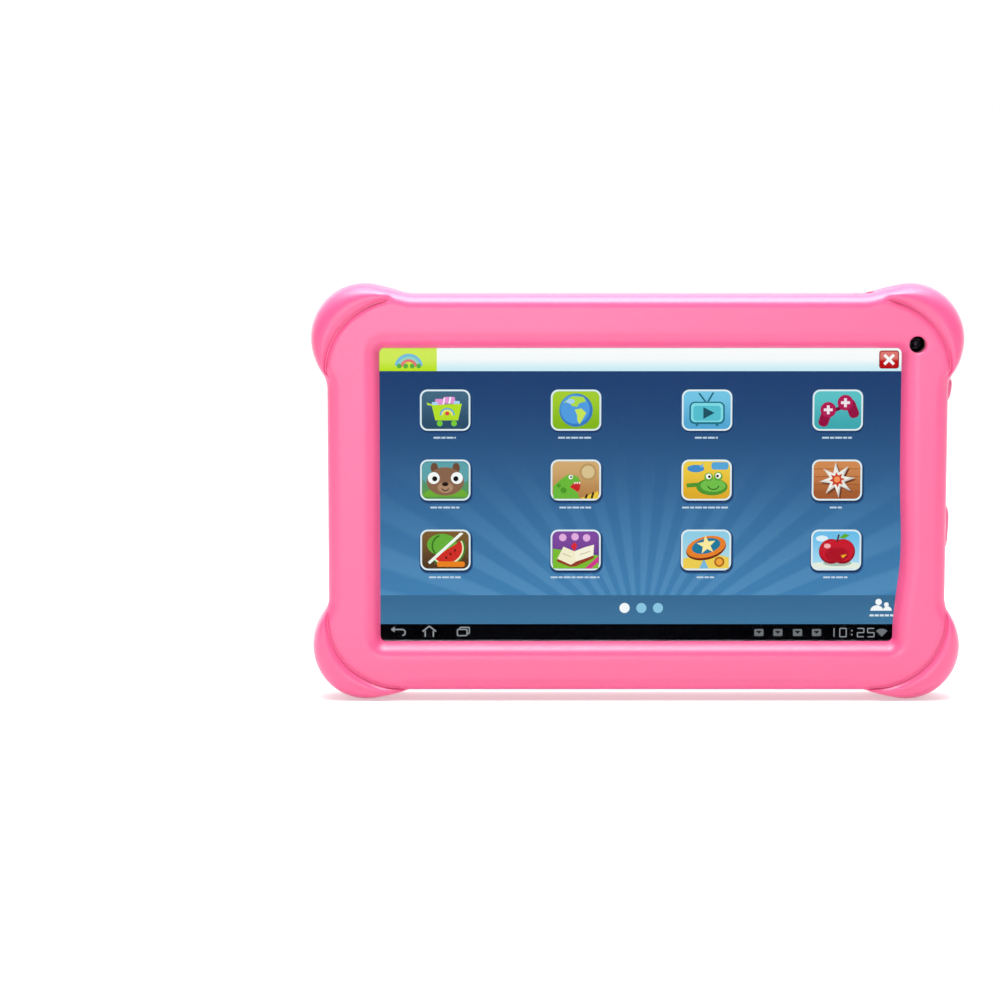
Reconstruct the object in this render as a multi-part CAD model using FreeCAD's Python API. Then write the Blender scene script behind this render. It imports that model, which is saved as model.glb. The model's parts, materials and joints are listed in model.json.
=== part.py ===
"""Child's seven-inch tablet in a soft bumper case, as separate pieces.

The tablet stands upright on the two lower corner bumps, with its screen towards -Y, its width along X and
its height along Z. The origin is under the middle of the tablet, on the surface that it stands on.
Everything is first drawn about the middle of the tablet, and export() lifts it by half the overall height.
All sizes are in millimetres. y runs from the front (negative) to the back (positive).
"""

import FreeCAD
import Part
import math
import os

# ---------------------------------------------------------------- driving dimensions
# Bumper case: one soft moulding with a swollen bump at each corner.
BODY_W = 181.0
BODY_H = 116.2
BODY_HALF_T = 8.8
BODY_CORNER_R = 20.6
BODY_EDGE_R = 3.0
BUMP_R = 15.6
BUMP_SIDE = 4.7          # how far a bump stands out past the left and right edges
BUMP_END = 2.9           # how far a bump stands out past the top and bottom edges
BUMP_HALF_T = 9.2
BUMP_EDGE_R = 4.0
FLARE_TOP_R = 20.0       # hollow curve from the top edge up onto a bump
FLARE_SIDE_R = 9.0       # hollow curve from the side edge out onto a bump
GROOVE_R = 1.2
CREASE = (181.8, 113.0, 20.4)      # round-cornered outline that the bumps start from: width, height, radius

# Tablet inside the case.
SLATE_W = 176.4
SLATE_H = 109.2
SLATE_R = 9.0
SLATE_FRONT = -4.55
SLATE_BACK = 6.15
SLATE_WALL = 1.5
SLATE_FLOOR = 1.2
CASE_GAP = 0.05          # soft case to tablet, front and back
CASE_SIDE_GAP = 0.2
GLASS_T = 1.1
PRINT_T = 0.08
SENSOR_T = 0.2
PRINT_BACK = SLATE_FRONT + GLASS_T + PRINT_T

# Seven-inch display, 154.2 x 85.9 active.
ACTIVE_W = 154.2
ACTIVE_H = 85.9
ACTIVE_X, ACTIVE_Z = 0.6, -0.4
WINDOW_W = 152.2
WINDOW_H = 86.5
WINDOW_X, WINDOW_Z = 0.8, -0.65
WINDOW_R = 1.3
LIP_SLOPE = 2.4          # how much wider the window is at the front of the lip, each side

# Camera, speaker, ports and buttons: x or z places about the middle of the tablet.
CAMERA_X, CAMERA_Z = 81.15, 43.95
SPEAKER_X, SPEAKER_Z = -51.0, 35.2
JACK_X, JACK_Y = 66.3, 2.84
JACK_BORE_R = 1.8
JACK_NOSE_R = 2.1
JACK_HOLE_R = 2.5
USB_Y, USB_Z = 3.55, 11.0
MIC_Y, MIC_Z = 3.5, 1.2
KEY_Y = 3.1
POWER_Z = 29.9
VOLUME_Z = -11.0
VOLUME_ARM = 5.0         # from the rocker's pivot to each of its switches
POWER_PAD_L, POWER_PAD_RISE = 7.6, 1.5
VOLUME_PAD_L, VOLUME_PAD_RISE = 14.4, 1.0
PAD_HALF_Y = 2.7
PAD_GAP = 0.3
FLANGE_IN_X = 85.9       # inner face of both keys
PLUNGER_TIP_X = FLANGE_IN_X - 0.05
PIVOT_X = 85.75          # the rocker's pivot pin

# Outline of the frame inside the tray: width, height, corner radius.
FRAME_OUTLINE = (SLATE_W - 2 * SLATE_WALL - 0.4, SLATE_H - 2 * SLATE_WALL - 0.4, SLATE_R - SLATE_WALL - 0.2)

# Levels through the tablet, front to back.
FRAME_FRONT, FRAME_BACK = -2.87, 0.7
LCD_FRONT, LCD_BACK = -2.8, 0.6
BOARD_FRONT, BOARD_BACK = 1.2, 2.2
COVER_INNER = SLATE_BACK - SLATE_FLOOR

# Display module outline, wider on the left and below, where its drivers are.
LCD_X0, LCD_X1 = -82.3, 78.7
LCD_Z0, LCD_Z1 = -48.4, 45.6
LCD_SHEET = 0.3

# Main board: it fills the right of the tablet behind the display.
BOARD_X0, BOARD_X1 = 36.0, 85.2
BOARD_Z0, BOARD_Z1 = -40.0, 52.2
BATTERY = (-18.0, -15.0, 92.0, 58.0)     # x, z, width, height
SPEAKER_FRONT, SPEAKER_BACK = 1.2, 4.7
BOARD_SCREWS = [(60.4, 48.4), (75.0, 48.4), (81.9, 20.6), (81.9, -43.6)]
COVER_SCREWS = [(-84.0, 47.0), (-84.0, -47.0), (83.0, 49.6), (83.0, -50.2)]

HALF_W = BODY_W / 2
HALF_H = BODY_H / 2
WALL_X = SLATE_W / 2                 # outer face of the tablet's side wall
WALL_INNER_X = WALL_X - SLATE_WALL
PAD_INNER_X = WALL_X + 0.5
RISE = HALF_H + BUMP_END             # height of the tablet's middle above the surface it stands on

V = FreeCAD.Vector
X, Y, Z = V(1, 0, 0), V(0, 1, 0), V(0, 0, 1)


# ---------------------------------------------------------------- drawing tools
def box(x0, x1, y0, y1, z0, z1):
    return Part.makeBox(x1 - x0, y1 - y0, z1 - z0, V(x0, y0, z0))


def block(x, z, width, height, y0, y1):
    """A block centred on x, z in the plane of the screen."""
    return box(x - width / 2, x + width / 2, y0, y1, z - height / 2, z + height / 2)


def round_wire(width, height, radius, y, x=0.0, z=0.0):
    """A rectangle with round corners in the plane of the screen."""
    a, b = width / 2 - radius, height / 2 - radius
    edges = []
    corners = [(a, b, 0), (-a, b, 90), (-a, -b, 180), (a, -b, 270)]
    for i, (cx, cz, start) in enumerate(corners):
        points = [
            V(x + cx + radius * math.cos(math.radians(t)), y, z + cz + radius * math.sin(math.radians(t)))
            for t in (start, start + 45, start + 90)
        ]
        edges.append(Part.Arc(*points).toShape())
        nx, nz, nstart = corners[(i + 1) % 4]
        after = V(
            x + nx + radius * math.cos(math.radians(nstart)),
            y,
            z + nz + radius * math.sin(math.radians(nstart)),
        )
        if (after - points[2]).Length > 1e-6:
            edges.append(Part.LineSegment(points[2], after).toShape())
    return Part.Wire(edges)


def plate(width, height, radius, y0, y1, x=0.0, z=0.0):
    """A plate with round corners in the plane of the screen, from y0 back to y1."""
    return Part.Face(round_wire(width, height, radius, y0, x, z)).extrude(V(0, y1 - y0, 0))


def ring(outer, inner, y0, y1):
    """A flat frame. outer and inner are (width, height, corner radius, x, z)."""
    ow, oh, orad, ox, oz = outer
    iw, ih, irad, ix, iz = inner
    return plate(ow, oh, orad, y0, y1, ox, oz).cut(plate(iw, ih, irad, y0 - 1, y1 + 1, ix, iz))


def rod(radius, start, end):
    """A round bar between two points."""
    along = end - start
    return Part.makeCylinder(radius, along.Length, start, along)


def rod_y(radius, x, z, y0, y1):
    return rod(radius, V(x, y0, z), V(x, y1, z))


def side_slot(length, height, x0, x1, y, z):
    """A bar of stadium section that runs along X, long in Z."""
    r = height / 2
    straight = length / 2 - r
    bar = box(x0, x1, y - r, y + r, z - straight, z + straight)
    for dz in (-straight, straight):
        bar = bar.fuse(rod(r, V(x0, y, z + dz), V(x1, y, z + dz)))
    return bar.removeSplitter()


def ribbon(points, thickness, x0, x1):
    """A flat flexible strip whose middle line follows points (y, z), as wide as x0 to x1."""
    half = thickness / 2
    left, right = [], []
    for i, (y, z) in enumerate(points):
        before = points[max(i - 1, 0)]
        after = points[min(i + 1, len(points) - 1)]
        a = math.atan2(z - before[1], y - before[0]) if i else None
        b = math.atan2(after[1] - z, after[0] - y) if i < len(points) - 1 else a
        a = b if a is None else a
        middle, turn = (a + b) / 2, (b - a) / 2
        reach = half / math.cos(turn)
        dy, dz = -math.sin(middle) * reach, math.cos(middle) * reach
        left.append(V(x0, y + dy, z + dz))
        right.append(V(x0, y - dy, z - dz))
    outline = left + right[::-1]
    face = Part.Face(Part.makePolygon(outline + outline[:1]))
    return face.extrude(V(x1 - x0, 0, 0))


def wire_lead(points, radius):
    """A round lead through points: straight runs joined by the largest tangent arcs that its runs allow."""
    edges = []
    at = points[0]
    for before, corner, after in zip(points, points[1:], points[2:]):
        into, out = corner - before, after - corner
        half_turn = into.getAngle(out) / 2
        back = 0.45 * min(into.Length, out.Length)
        start = corner - V(into).normalize() * back
        end = corner + V(out).normalize() * back
        bend_r = back / math.tan(half_turn)
        inward = (V(out).normalize() - V(into).normalize()).normalize()
        middle = corner + inward * (bend_r / math.cos(half_turn) - bend_r)
        edges.append(Part.LineSegment(at, start).toShape())
        edges.append(Part.Arc(start, middle, end).toShape())
        at = end
    edges.append(Part.LineSegment(at, points[-1]).toShape())
    path = Part.Wire(edges)
    section = Part.Wire(Part.makeCircle(radius, points[0], points[1] - points[0]))
    return path.makePipeShell([section], True, True)


def grid(shape_at, xs, zs):
    """Copies of a small piece at every x and z."""
    return Part.makeCompound([shape_at(x, z) for x in xs for z in zs])


def joined(shapes):
    first, *rest = shapes
    return first.fuse(rest).removeSplitter() if rest else first


def spread(first, last, count):
    return [first + (last - first) * i / (count - 1) for i in range(count)]


# ---------------------------------------------------------------- bumper case
def bump_centre():
    return HALF_W + BUMP_SIDE - BUMP_R, HALF_H + BUMP_END - BUMP_R


def outline_quarter():
    """Points of the case's upper right outline: (start, middle, end) of its three arcs, in x and z."""
    cx, cz = bump_centre()
    reach = BUMP_R + FLARE_TOP_R
    top_x = cx - math.sqrt(reach**2 - (HALF_H + FLARE_TOP_R - cz) ** 2)
    top_c = (top_x, HALF_H + FLARE_TOP_R)
    reach = BUMP_R + FLARE_SIDE_R
    side_z = cz - math.sqrt(reach**2 - (HALF_W + FLARE_SIDE_R - cx) ** 2)
    side_c = (HALF_W + FLARE_SIDE_R, side_z)

    def on_circle(centre, radius, angle):
        return centre[0] + radius * math.cos(angle), centre[1] + radius * math.sin(angle)

    to_top = math.atan2(top_c[1] - cz, top_c[0] - cx)
    to_side = math.atan2(side_c[1] - cz, side_c[0] - cx)
    top_back = math.atan2(cz - top_c[1], cx - top_c[0])
    side_back = math.atan2(cz - side_c[1], cx - side_c[0])
    if side_back < 0:
        side_back += 2 * math.pi
    top_start = -math.pi / 2
    side_end = math.pi
    return [
        [on_circle(top_c, FLARE_TOP_R, t) for t in (top_start, (top_start + top_back) / 2, top_back)],
        [on_circle((cx, cz), BUMP_R, t) for t in (to_top, (to_top + to_side) / 2, to_side)],
        [on_circle(side_c, FLARE_SIDE_R, t) for t in (side_back, (side_back + side_end) / 2, side_end)],
    ]


def case_outline(y):
    """The case's whole outline, with its four bumps, as a wire at depth y."""
    arcs = outline_quarter()
    turned = [arc[::-1] for arc in arcs[::-1]]
    quarters = [
        (arcs, 1, 1),
        (turned, 1, -1),
        (arcs, -1, -1),
        (turned, -1, 1),
    ]
    edges = []
    last = None
    for group, sx, sz in quarters:
        for arc in group:
            points = [V(sx * x, y, sz * z) for x, z in arc]
            if last is not None and (points[0] - last).Length > 1e-6:
                edges.append(Part.LineSegment(last, points[0]).toShape())
            edges.append(Part.Arc(*points).toShape())
            last = points[2]
    first = V(arcs[0][0][0], y, arcs[0][0][1])
    edges.append(Part.LineSegment(last, first).toShape())
    return Part.Wire(edges)


def edges_at(shape, y):
    """The edges of shape that lie wholly at depth y."""
    return [e for e in shape.Edges if abs(e.BoundBox.YMin - y) < 1e-4 and abs(e.BoundBox.YMax - y) < 1e-4]


def slab(half_t, edge_r):
    """The case's outline as a slab with rounded front and back edges."""
    solid = Part.Face(case_outline(-half_t)).extrude(V(0, 2 * half_t, 0))
    return solid.makeFillet(edge_r, edges_at(solid, -half_t) + edges_at(solid, half_t))


def corner_bumps():
    """The four swollen corners, which stand a little prouder than the case's faces."""
    bumps = slab(BUMP_HALF_T, BUMP_EDGE_R)
    return bumps.cut(plate(*CREASE, -BUMP_HALF_T - 1, BUMP_HALF_T + 1))


def corner_groove(sx, sz, y):
    """The groove between a corner bump and the flat face, a quarter ring of round section."""
    width, height, radius = CREASE
    centre = V(sx * (width / 2 - radius), y, sz * (height / 2 - radius))
    tool = Part.makeTorus(radius, GROOVE_R, centre, Y, 0, 360)
    quarter = box(min(0, sx * 40), max(0, sx * 40), y - 3, y + 3, min(0, sz * 40), max(0, sz * 40))
    quarter.translate(V(centre.x, 0, centre.z))
    return tool.common(quarter)


def parted(shape, x, y):
    """One moulding, stored as four solids that meet on two planes through a hole.

    The collision hulls of each solid then stop at the hole, which stays open for the plug.
    """
    quarters = []
    for x0, x1 in ((-200, x), (x, 200)):
        for y0, y1 in ((-200, y), (y, 200)):
            quarters += shape.common(box(x0, x1, y0, y1, -200, 200)).Solids
    return Part.makeCompound(quarters)


def bumper_case():
    case = slab(BODY_HALF_T, BODY_EDGE_R).fuse(corner_bumps())
    for sx in (-1, 1):
        for sz in (-1, 1):
            for y in (-BODY_HALF_T - 0.4, BODY_HALF_T + 0.4):
                case = case.cut(corner_groove(sx, sz, y))

    lip_back = SLATE_FRONT - CASE_GAP
    cavity = plate(
        SLATE_W + 2 * CASE_SIDE_GAP,
        SLATE_H + 2 * CASE_SIDE_GAP,
        SLATE_R + CASE_SIDE_GAP,
        lip_back,
        SLATE_BACK + CASE_GAP,
    )
    front_w, front_h = WINDOW_W + 2 * LIP_SLOPE, WINDOW_H + 2 * LIP_SLOPE
    run_on = 1.0 / (BODY_HALF_T + lip_back)     # the taper carried 1 mm past the front face
    window = Part.makeLoft(
        [
            round_wire(WINDOW_W, WINDOW_H, WINDOW_R, lip_back + 0.01, WINDOW_X, WINDOW_Z),
            round_wire(
                front_w + 2 * LIP_SLOPE * run_on,
                front_h + 2 * LIP_SLOPE * run_on,
                WINDOW_R + LIP_SLOPE * (1 + run_on),
                -BODY_HALF_T - 1,
                WINDOW_X,
                WINDOW_Z,
            ),
        ],
        True,
        True,
    )
    window_through = plate(WINDOW_W, WINDOW_H, WINDOW_R, lip_back - 0.05, 0, WINDOW_X, WINDOW_Z)
    camera_hole = rod_y(2.4, CAMERA_X, CAMERA_Z, -12, 0)
    camera_flare = Part.makeCone(3.2, 2.4, 0.8, V(CAMERA_X, -BODY_HALF_T, CAMERA_Z), Y)
    speaker_slot = plate(13.1, 3.6, 1.79, 0, 12, SPEAKER_X, SPEAKER_Z)
    jack_hole = rod(JACK_HOLE_R, V(JACK_X, JACK_Y, 40), V(JACK_X, JACK_Y, 70))
    jack_flare = Part.makeCone(JACK_HOLE_R, JACK_HOLE_R + 0.6, 0.6, V(JACK_X, JACK_Y, HALF_H - 0.6), Z)
    usb_hole = side_slot(10.6, 6.4, 80, 95, USB_Y, USB_Z)
    mic_hole = rod(0.9, V(80, MIC_Y, MIC_Z), V(95, MIC_Y, MIC_Z))
    power_slot = side_slot(POWER_PAD_L + 2 * PAD_GAP, 2 * (PAD_HALF_Y + PAD_GAP), 80, 99, KEY_Y, POWER_Z)
    volume_slot = side_slot(VOLUME_PAD_L + 2 * PAD_GAP, 2 * (PAD_HALF_Y + PAD_GAP), 80, 99, KEY_Y, VOLUME_Z)
    moulding = case.cut(
        [
            cavity,
            window,
            window_through,
            camera_hole,
            camera_flare,
            speaker_slot,
            jack_hole,
            jack_flare,
            usb_hole,
            mic_hole,
            power_slot,
            volume_slot,
        ]
    )
    return parted(moulding, JACK_X, JACK_Y)


def button_pad(length, rise, z):
    """The part of the soft case over a key: a block that stands rise above the case's side."""
    pad = side_slot(length, 2 * PAD_HALF_Y, PAD_INNER_X, HALF_W + rise, KEY_Y, z)
    outer = [e for e in pad.Edges if e.BoundBox.XMin > HALF_W + rise - 1e-4]
    return pad.makeFillet(0.6 * rise, outer)


# ---------------------------------------------------------------- tablet shell
def cover_glass():
    glass = plate(SLATE_W - 0.4, SLATE_H - 0.4, SLATE_R - 0.2, SLATE_FRONT, SLATE_FRONT + GLASS_T)
    return glass.makeChamfer(0.2, edges_at(glass, SLATE_FRONT))


def border_print():
    black = ring(
        (SLATE_W - 0.6, SLATE_H - 0.6, SLATE_R - 0.3, 0, 0),
        (ACTIVE_W + 1.0, ACTIVE_H + 1.0, 0.5, ACTIVE_X, ACTIVE_Z),
        SLATE_FRONT + GLASS_T,
        PRINT_BACK,
    )
    return black.cut(rod_y(1.5, CAMERA_X, CAMERA_Z, -5, 0))


def touch_sensor():
    """Laminated sensor sheet, cut short on the right to leave room for the camera."""
    sheet = plate(170.0, 102.8, 7.0, PRINT_BACK, PRINT_BACK + SENSOR_T)
    return sheet.cut(box(LCD_X1 + 0.2, 90, -5, 0, -60, 60))


def glass_adhesive():
    return ring((*FRAME_OUTLINE, 0, 0), (170.6, 103.4, 6.1, 0, 0), PRINT_BACK, FRAME_FRONT)


def mid_frame():
    """Plastic frame that carries the display in front and the board behind."""
    frame = ring(
        (*FRAME_OUTLINE, 0, 0),
        (
            LCD_X1 - LCD_X0 + 0.4,
            LCD_Z1 - LCD_Z0 + 0.4,
            0.3,
            (LCD_X0 + LCD_X1) / 2,
            (LCD_Z0 + LCD_Z1) / 2,
        ),
        FRAME_FRONT,
        FRAME_BACK,
    )
    standoffs = [rod_y(1.6, x, z, FRAME_BACK - 0.2, BOARD_FRONT) for x, z in BOARD_SCREWS]
    frame = joined([frame, *standoffs])
    cuts = [rod_y(0.62, x, z, -2.0, 2) for x, z in BOARD_SCREWS]
    cuts += [rod_y(0.72, x, z, -2.0, 2) for x, z in COVER_SCREWS]
    cuts += [
        box(LCD_X1 - 0.5, 84.6, -5, 3, 29.0, 47.7),         # pocket for the camera and its flex
        box(47.0, 73.0, -5, 3, -50.4, -47.0),               # notch for the display flex
        box(34.5, 45.5, -5, 3, -52.4, -47.0),               # notch for the touch flex
        rod_y(0.45, PIVOT_X, VOLUME_Z, 0.0, 3),             # seat of the rocker's front pivot
    ]
    return frame.cut(cuts)


def rear_cover():
    """Tray that closes the tablet's back and sides."""
    inner_w, inner_h = SLATE_W - 2 * SLATE_WALL, SLATE_H - 2 * SLATE_WALL
    tray = plate(SLATE_W, SLATE_H, SLATE_R, PRINT_BACK + 0.07, SLATE_BACK)
    tray = tray.makeFillet(1.6, edges_at(tray, SLATE_BACK))
    tray = tray.cut(plate(inner_w, inner_h, SLATE_R - SLATE_WALL, PRINT_BACK - 1, COVER_INNER))
    posts = [rod_y(1.9, x, z, FRAME_BACK + 0.05, COVER_INNER + 0.3) for x, z in COVER_SCREWS]
    rib_y = COVER_INNER - 1.2
    ribs = [
        box(-66.0, -65.0, rib_y, COVER_INNER + 0.3, -44.0, 12.0),
        box(32.0, 33.0, rib_y, COVER_INNER + 0.3, -44.0, 12.0),
        box(-60.0, 28.0, rib_y, COVER_INNER + 0.3, -47.0, -46.0),
    ]
    tray = joined([tray, *posts, *ribs])
    wall_out = WALL_X + 1
    cuts = [rod_y(0.85, x, z, -1, 5.4) for x, z in COVER_SCREWS]
    cuts += [rod_y(1.6, x, z, 5.3, 7) for x, z in COVER_SCREWS]
    cuts += [
        rod_y(0.45, SPEAKER_X + dx, SPEAKER_Z + dz, 4, 7)
        for dx in spread(-5.5, 5.5, 8)
        for dz in (-1.1, 0.0, 1.1)
    ]
    cuts += [
        side_slot(8.4, 3.2, 86, wall_out, USB_Y, USB_Z),
        box(86, wall_out, KEY_Y - 1.5, KEY_Y + 1.5, POWER_Z - 3.5, POWER_Z + 3.5),
        box(86, wall_out, KEY_Y - 1.5, KEY_Y + 1.5, VOLUME_Z - 7.3, VOLUME_Z + 7.3),
        rod(0.6, V(86, MIC_Y, MIC_Z), V(wall_out, MIC_Y, MIC_Z)),
        rod(JACK_NOSE_R + 0.15, V(JACK_X, JACK_Y, 52), V(JACK_X, JACK_Y, 56)),
        box(45.0, 56.6, 2.6, 3.6, 52, 56),                   # card slot
        rod_y(0.45, PIVOT_X, VOLUME_Z, 4, COVER_INNER + 0.6),  # seat of the rocker's back pivot
    ]
    return tray.cut(cuts)


# ---------------------------------------------------------------- display
def lcd_metal_frame():
    """Folded steel tray round the display, open in front over the picture."""
    s = LCD_SHEET
    tray = box(LCD_X0, LCD_X1, LCD_FRONT, LCD_BACK, LCD_Z0, LCD_Z1)
    hollow = box(LCD_X0 + s, LCD_X1 - s, LCD_FRONT + s, LCD_BACK - s, LCD_Z0 + s, LCD_Z1 - s)
    picture = block(ACTIVE_X, ACTIVE_Z, ACTIVE_W + 0.8, ACTIVE_H + 0.8, LCD_FRONT - 1, LCD_FRONT + s + 0.1)
    flex_slot = box(48.0, 72.0, -1.6, -1.2, LCD_Z0 - 1, LCD_Z0 + 1)
    return tray.cut([hollow, picture, flex_slot])


def lcd_layer(y0, y1, margin=0.5, z0=None):
    return box(
        LCD_X0 + margin,
        LCD_X1 - margin,
        y0,
        y1,
        LCD_Z0 + margin if z0 is None else z0,
        LCD_Z1 - margin,
    )


def led_strip():
    """Row of backlight diodes on a narrow board along the lower edge."""
    strip = box(-75, 75, -0.74, -0.54, -47.9, -46.2)
    diodes = grid(lambda x, z: block(x, z, 2.8, 1.0, -0.54, 0.06), spread(-72, 72, 24), [-47.0])
    return Part.makeCompound([strip, diodes])


def lcd_flex():
    """Flexible tail from the display's lower edge, folded behind it and into the board."""
    return ribbon(
        [
            (-1.4, -47.6),
            (-1.4, -49.0),
            (-0.9, -49.6),
            (0.4, -49.6),
            (0.95, -49.0),
            (0.95, -44.0),
            (2.75, -41.6),
            (2.75, -38.2),
        ],
        0.15,
        50.0,
        70.0,
    )


def touch_flex():
    """Flexible tail from the back of the touch sensor round into the board."""
    back = PRINT_BACK + SENSOR_T + 0.075
    return ribbon(
        [
            (back, -50.0),
            (back, -50.9),
            (-2.4, -51.9),
            (0.6, -51.9),
            (1.8, -50.9),
            (2.75, -47.0),
            (2.75, -38.2),
        ],
        0.15,
        36.5,
        43.5,
    )


# ---------------------------------------------------------------- camera
def camera_housing():
    base = block(CAMERA_X + 0.1, CAMERA_Z, 4.9, 5.2, -0.6, 0.1)
    barrel = rod_y(2.1, CAMERA_X, CAMERA_Z, -3.1, -0.5)
    return joined([base, barrel]).cut(rod_y(1.3, CAMERA_X, CAMERA_Z, -4, -2.3))


def camera_gasket():
    return rod_y(2.1, CAMERA_X, CAMERA_Z, PRINT_BACK, -3.1).cut(rod_y(1.6, CAMERA_X, CAMERA_Z, -4, -3))


def camera_lens():
    """Small lens with a domed front, seated in the barrel."""
    disc = rod_y(1.28, CAMERA_X, CAMERA_Z, -2.9, -2.3)
    dome = Part.makeSphere(2.2, V(CAMERA_X, -0.75, CAMERA_Z))
    return disc.common(dome)


def camera_flex():
    return ribbon([(0.2, 44.0), (0.2, 40.0), (0.72, 37.0), (0.72, 32.4)], 0.12, 80.3, 83.3)


# ---------------------------------------------------------------- board and what is on it
def main_board():
    board = box(BOARD_X0, BOARD_X1, BOARD_FRONT, BOARD_BACK, BOARD_Z0, BOARD_Z1)
    tab = box(76.0, BOARD_X1, BOARD_FRONT, BOARD_BACK, -47.0, BOARD_Z0 + 1)
    board = joined([board, tab])
    cuts = [rod_y(0.8, x, z, 0, 3) for x, z in BOARD_SCREWS]
    cuts += [
        box(JACK_X - 3.3, JACK_X + 3.3, 0, 3, 39.4, 55),
        box(78.0, 90, 0, 3, 46.5, 55),
        box(BOARD_X1 - 1.4, 90, 0, 3, USB_Z - 1.6, USB_Z + 1.6),
    ]
    return board.cut(cuts)


def chip(x, z, width, height, thickness):
    """A moulded chip package, soldered flat on the back of the board."""
    body = block(x, z, width, height, BOARD_BACK, BOARD_BACK + thickness)
    return body.makeChamfer(0.15, edges_at(body, BOARD_BACK + thickness))


def leaded_chip(x, z, width, height, thickness, leads):
    """A chip with a row of gull-wing leads along its two short ends."""
    body = chip(x, z, width, height, thickness)
    legs = []
    for side in (-1, 1):
        for lx in spread(x - width / 2 + 0.6, x + width / 2 - 0.6, leads):
            lz = z + side * (height / 2 + 0.4)
            legs.append(block(lx, lz, 0.25, 0.8, BOARD_BACK, BOARD_BACK + 0.2))
    return Part.makeCompound([body, *legs])


def wifi_module():
    """Radio module: a small board under a metal can, with a socket for the aerial's lead."""
    base = block(50.0, 27.0, 12.0, 12.0, BOARD_BACK, BOARD_BACK + 0.5)
    can = block(50.8, 26.2, 9.4, 9.4, BOARD_BACK + 0.5, BOARD_BACK + 1.9)
    can = can.makeFillet(0.4, edges_at(can, BOARD_BACK + 1.9))
    return joined([base, can])


def inductors():
    places = [(74.5, 0.0), (74.5, -7.5), (74.5, -24.0), (67.5, 12.0), (60.0, 12.0)]

    def coil(x, z):
        body = block(x, z, 4.0, 4.0, BOARD_BACK, BOARD_BACK + 1.8)
        return body.makeFillet(0.5, [e for e in body.Edges if abs(e.tangentAt(e.FirstParameter).y) > 0.9])

    return Part.makeCompound([coil(x, z) for x, z in places])


def capacitors():
    """Small ceramic parts in rows beside the chips."""
    rows = [
        (spread(51.0, 71.0, 11), [7.2]),
        (spread(53.5, 71.0, 8), [-17.8]),
        ([39.5], spread(-14.0, 6.0, 11)),
        (spread(40.0, 44.0, 3), [-32.0, -29.0]),
        (spread(62.0, 78.0, 7), [32.0]),
    ]
    made = []
    for xs, zs in rows:
        made.append(grid(lambda x, z: block(x, z, 0.8, 1.6, BOARD_BACK, BOARD_BACK + 0.8), xs, zs))
    return Part.makeCompound(made)


def crystals():
    cans = [plate(3.2, 2.5, 0.5, BOARD_BACK, BOARD_BACK + 0.8, x, 12.4) for x in (47.0, 52.5)]
    return Part.makeCompound(cans)


def flex_connectors():
    """Sockets for the display, touch and camera flexes."""
    lcd = block(60.0, -36.5, 24.0, 4.0, BOARD_BACK, BOARD_BACK + 1.1)
    lcd = lcd.cut(box(49.9, 70.1, 2.6, 2.9, -39, -37.6))
    touch = block(40.0, -36.5, 8.0, 4.0, BOARD_BACK, BOARD_BACK + 1.1)
    touch = touch.cut(box(36.4, 43.6, 2.6, 2.9, -39, -37.6))
    camera = block(81.8, 31.5, 4.4, 3.0, BOARD_FRONT - 0.9, BOARD_FRONT)
    camera = camera.cut(box(80.2, 83.4, 0.6, 0.84, 32.0, 34))
    return Part.makeCompound([lcd, touch, camera])


def usb_shell():
    """Folded metal shell of the charging socket, with its mouth through the side wall."""
    outer = box(81.4, 87.0, BOARD_BACK + 0.02, 4.85, USB_Z - 3.75, USB_Z + 3.75)
    corners = [e for e in outer.Edges if abs(e.tangentAt(e.FirstParameter).x) > 0.9]
    outer = outer.makeFillet(0.6, corners)
    inner = box(81.65, 88, BOARD_BACK + 0.27, 4.6, USB_Z - 3.5, USB_Z + 3.5)
    inner = inner.makeFillet(0.4, [e for e in inner.Edges if abs(e.tangentAt(e.FirstParameter).x) > 0.9])
    return outer.cut(inner)


def usb_tongue():
    """Plastic insert with the contact tongue of the charging socket."""
    back = box(81.65, 82.6, 2.9, 4.2, USB_Z - 2.6, USB_Z + 2.6)
    tongue = box(82.5, 86.4, 3.7, 4.15, USB_Z - 1.8, USB_Z + 1.8)
    return joined([back, tongue])


def headphone_jack():
    """Plug socket: a block in the board's notch with a round nose through the top wall."""
    body = box(JACK_X - 3.1, JACK_X + 3.1, JACK_Y - JACK_NOSE_R, JACK_Y + JACK_NOSE_R, 39.8, 53.0)
    nose = rod(JACK_NOSE_R, V(JACK_X, JACK_Y, 52.8), V(JACK_X, JACK_Y, 54.5))
    bore = rod(JACK_BORE_R, V(JACK_X, JACK_Y, 40.6), V(JACK_X, JACK_Y, 55))
    return joined([body, nose]).cut(bore)


def sd_socket():
    """Memory card socket: a thin metal box, open towards the slot in the top wall."""
    outer = box(43.6, 58.0, BOARD_BACK, BOARD_BACK + 1.6, 37.2, 51.8)
    inner = box(45.0, 56.6, BOARD_BACK + 0.4, BOARD_BACK + 1.4, 38.8, 53)
    return outer.cut(inner)


def microphone():
    can = rod(1.25, V(84.4, MIC_Y, MIC_Z), V(86.4, MIC_Y, MIC_Z))
    return can.cut(rod(0.4, V(86.0, MIC_Y, MIC_Z), V(87, MIC_Y, MIC_Z)))


# ---------------------------------------------------------------- keys and switches
def tact_switch(z):
    """Side-push switch on the back of the board, with the hole that its plunger slides in."""
    body = box(82.2, 84.9, BOARD_BACK, 4.2, z - 2.3, z + 2.3)
    return body.cut(rod(0.6, V(83.45, KEY_Y, z), V(86, KEY_Y, z)))


def plunger(z):
    return rod(0.55, V(83.95, KEY_Y, z), V(PLUNGER_TIP_X, KEY_Y, z))


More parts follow.
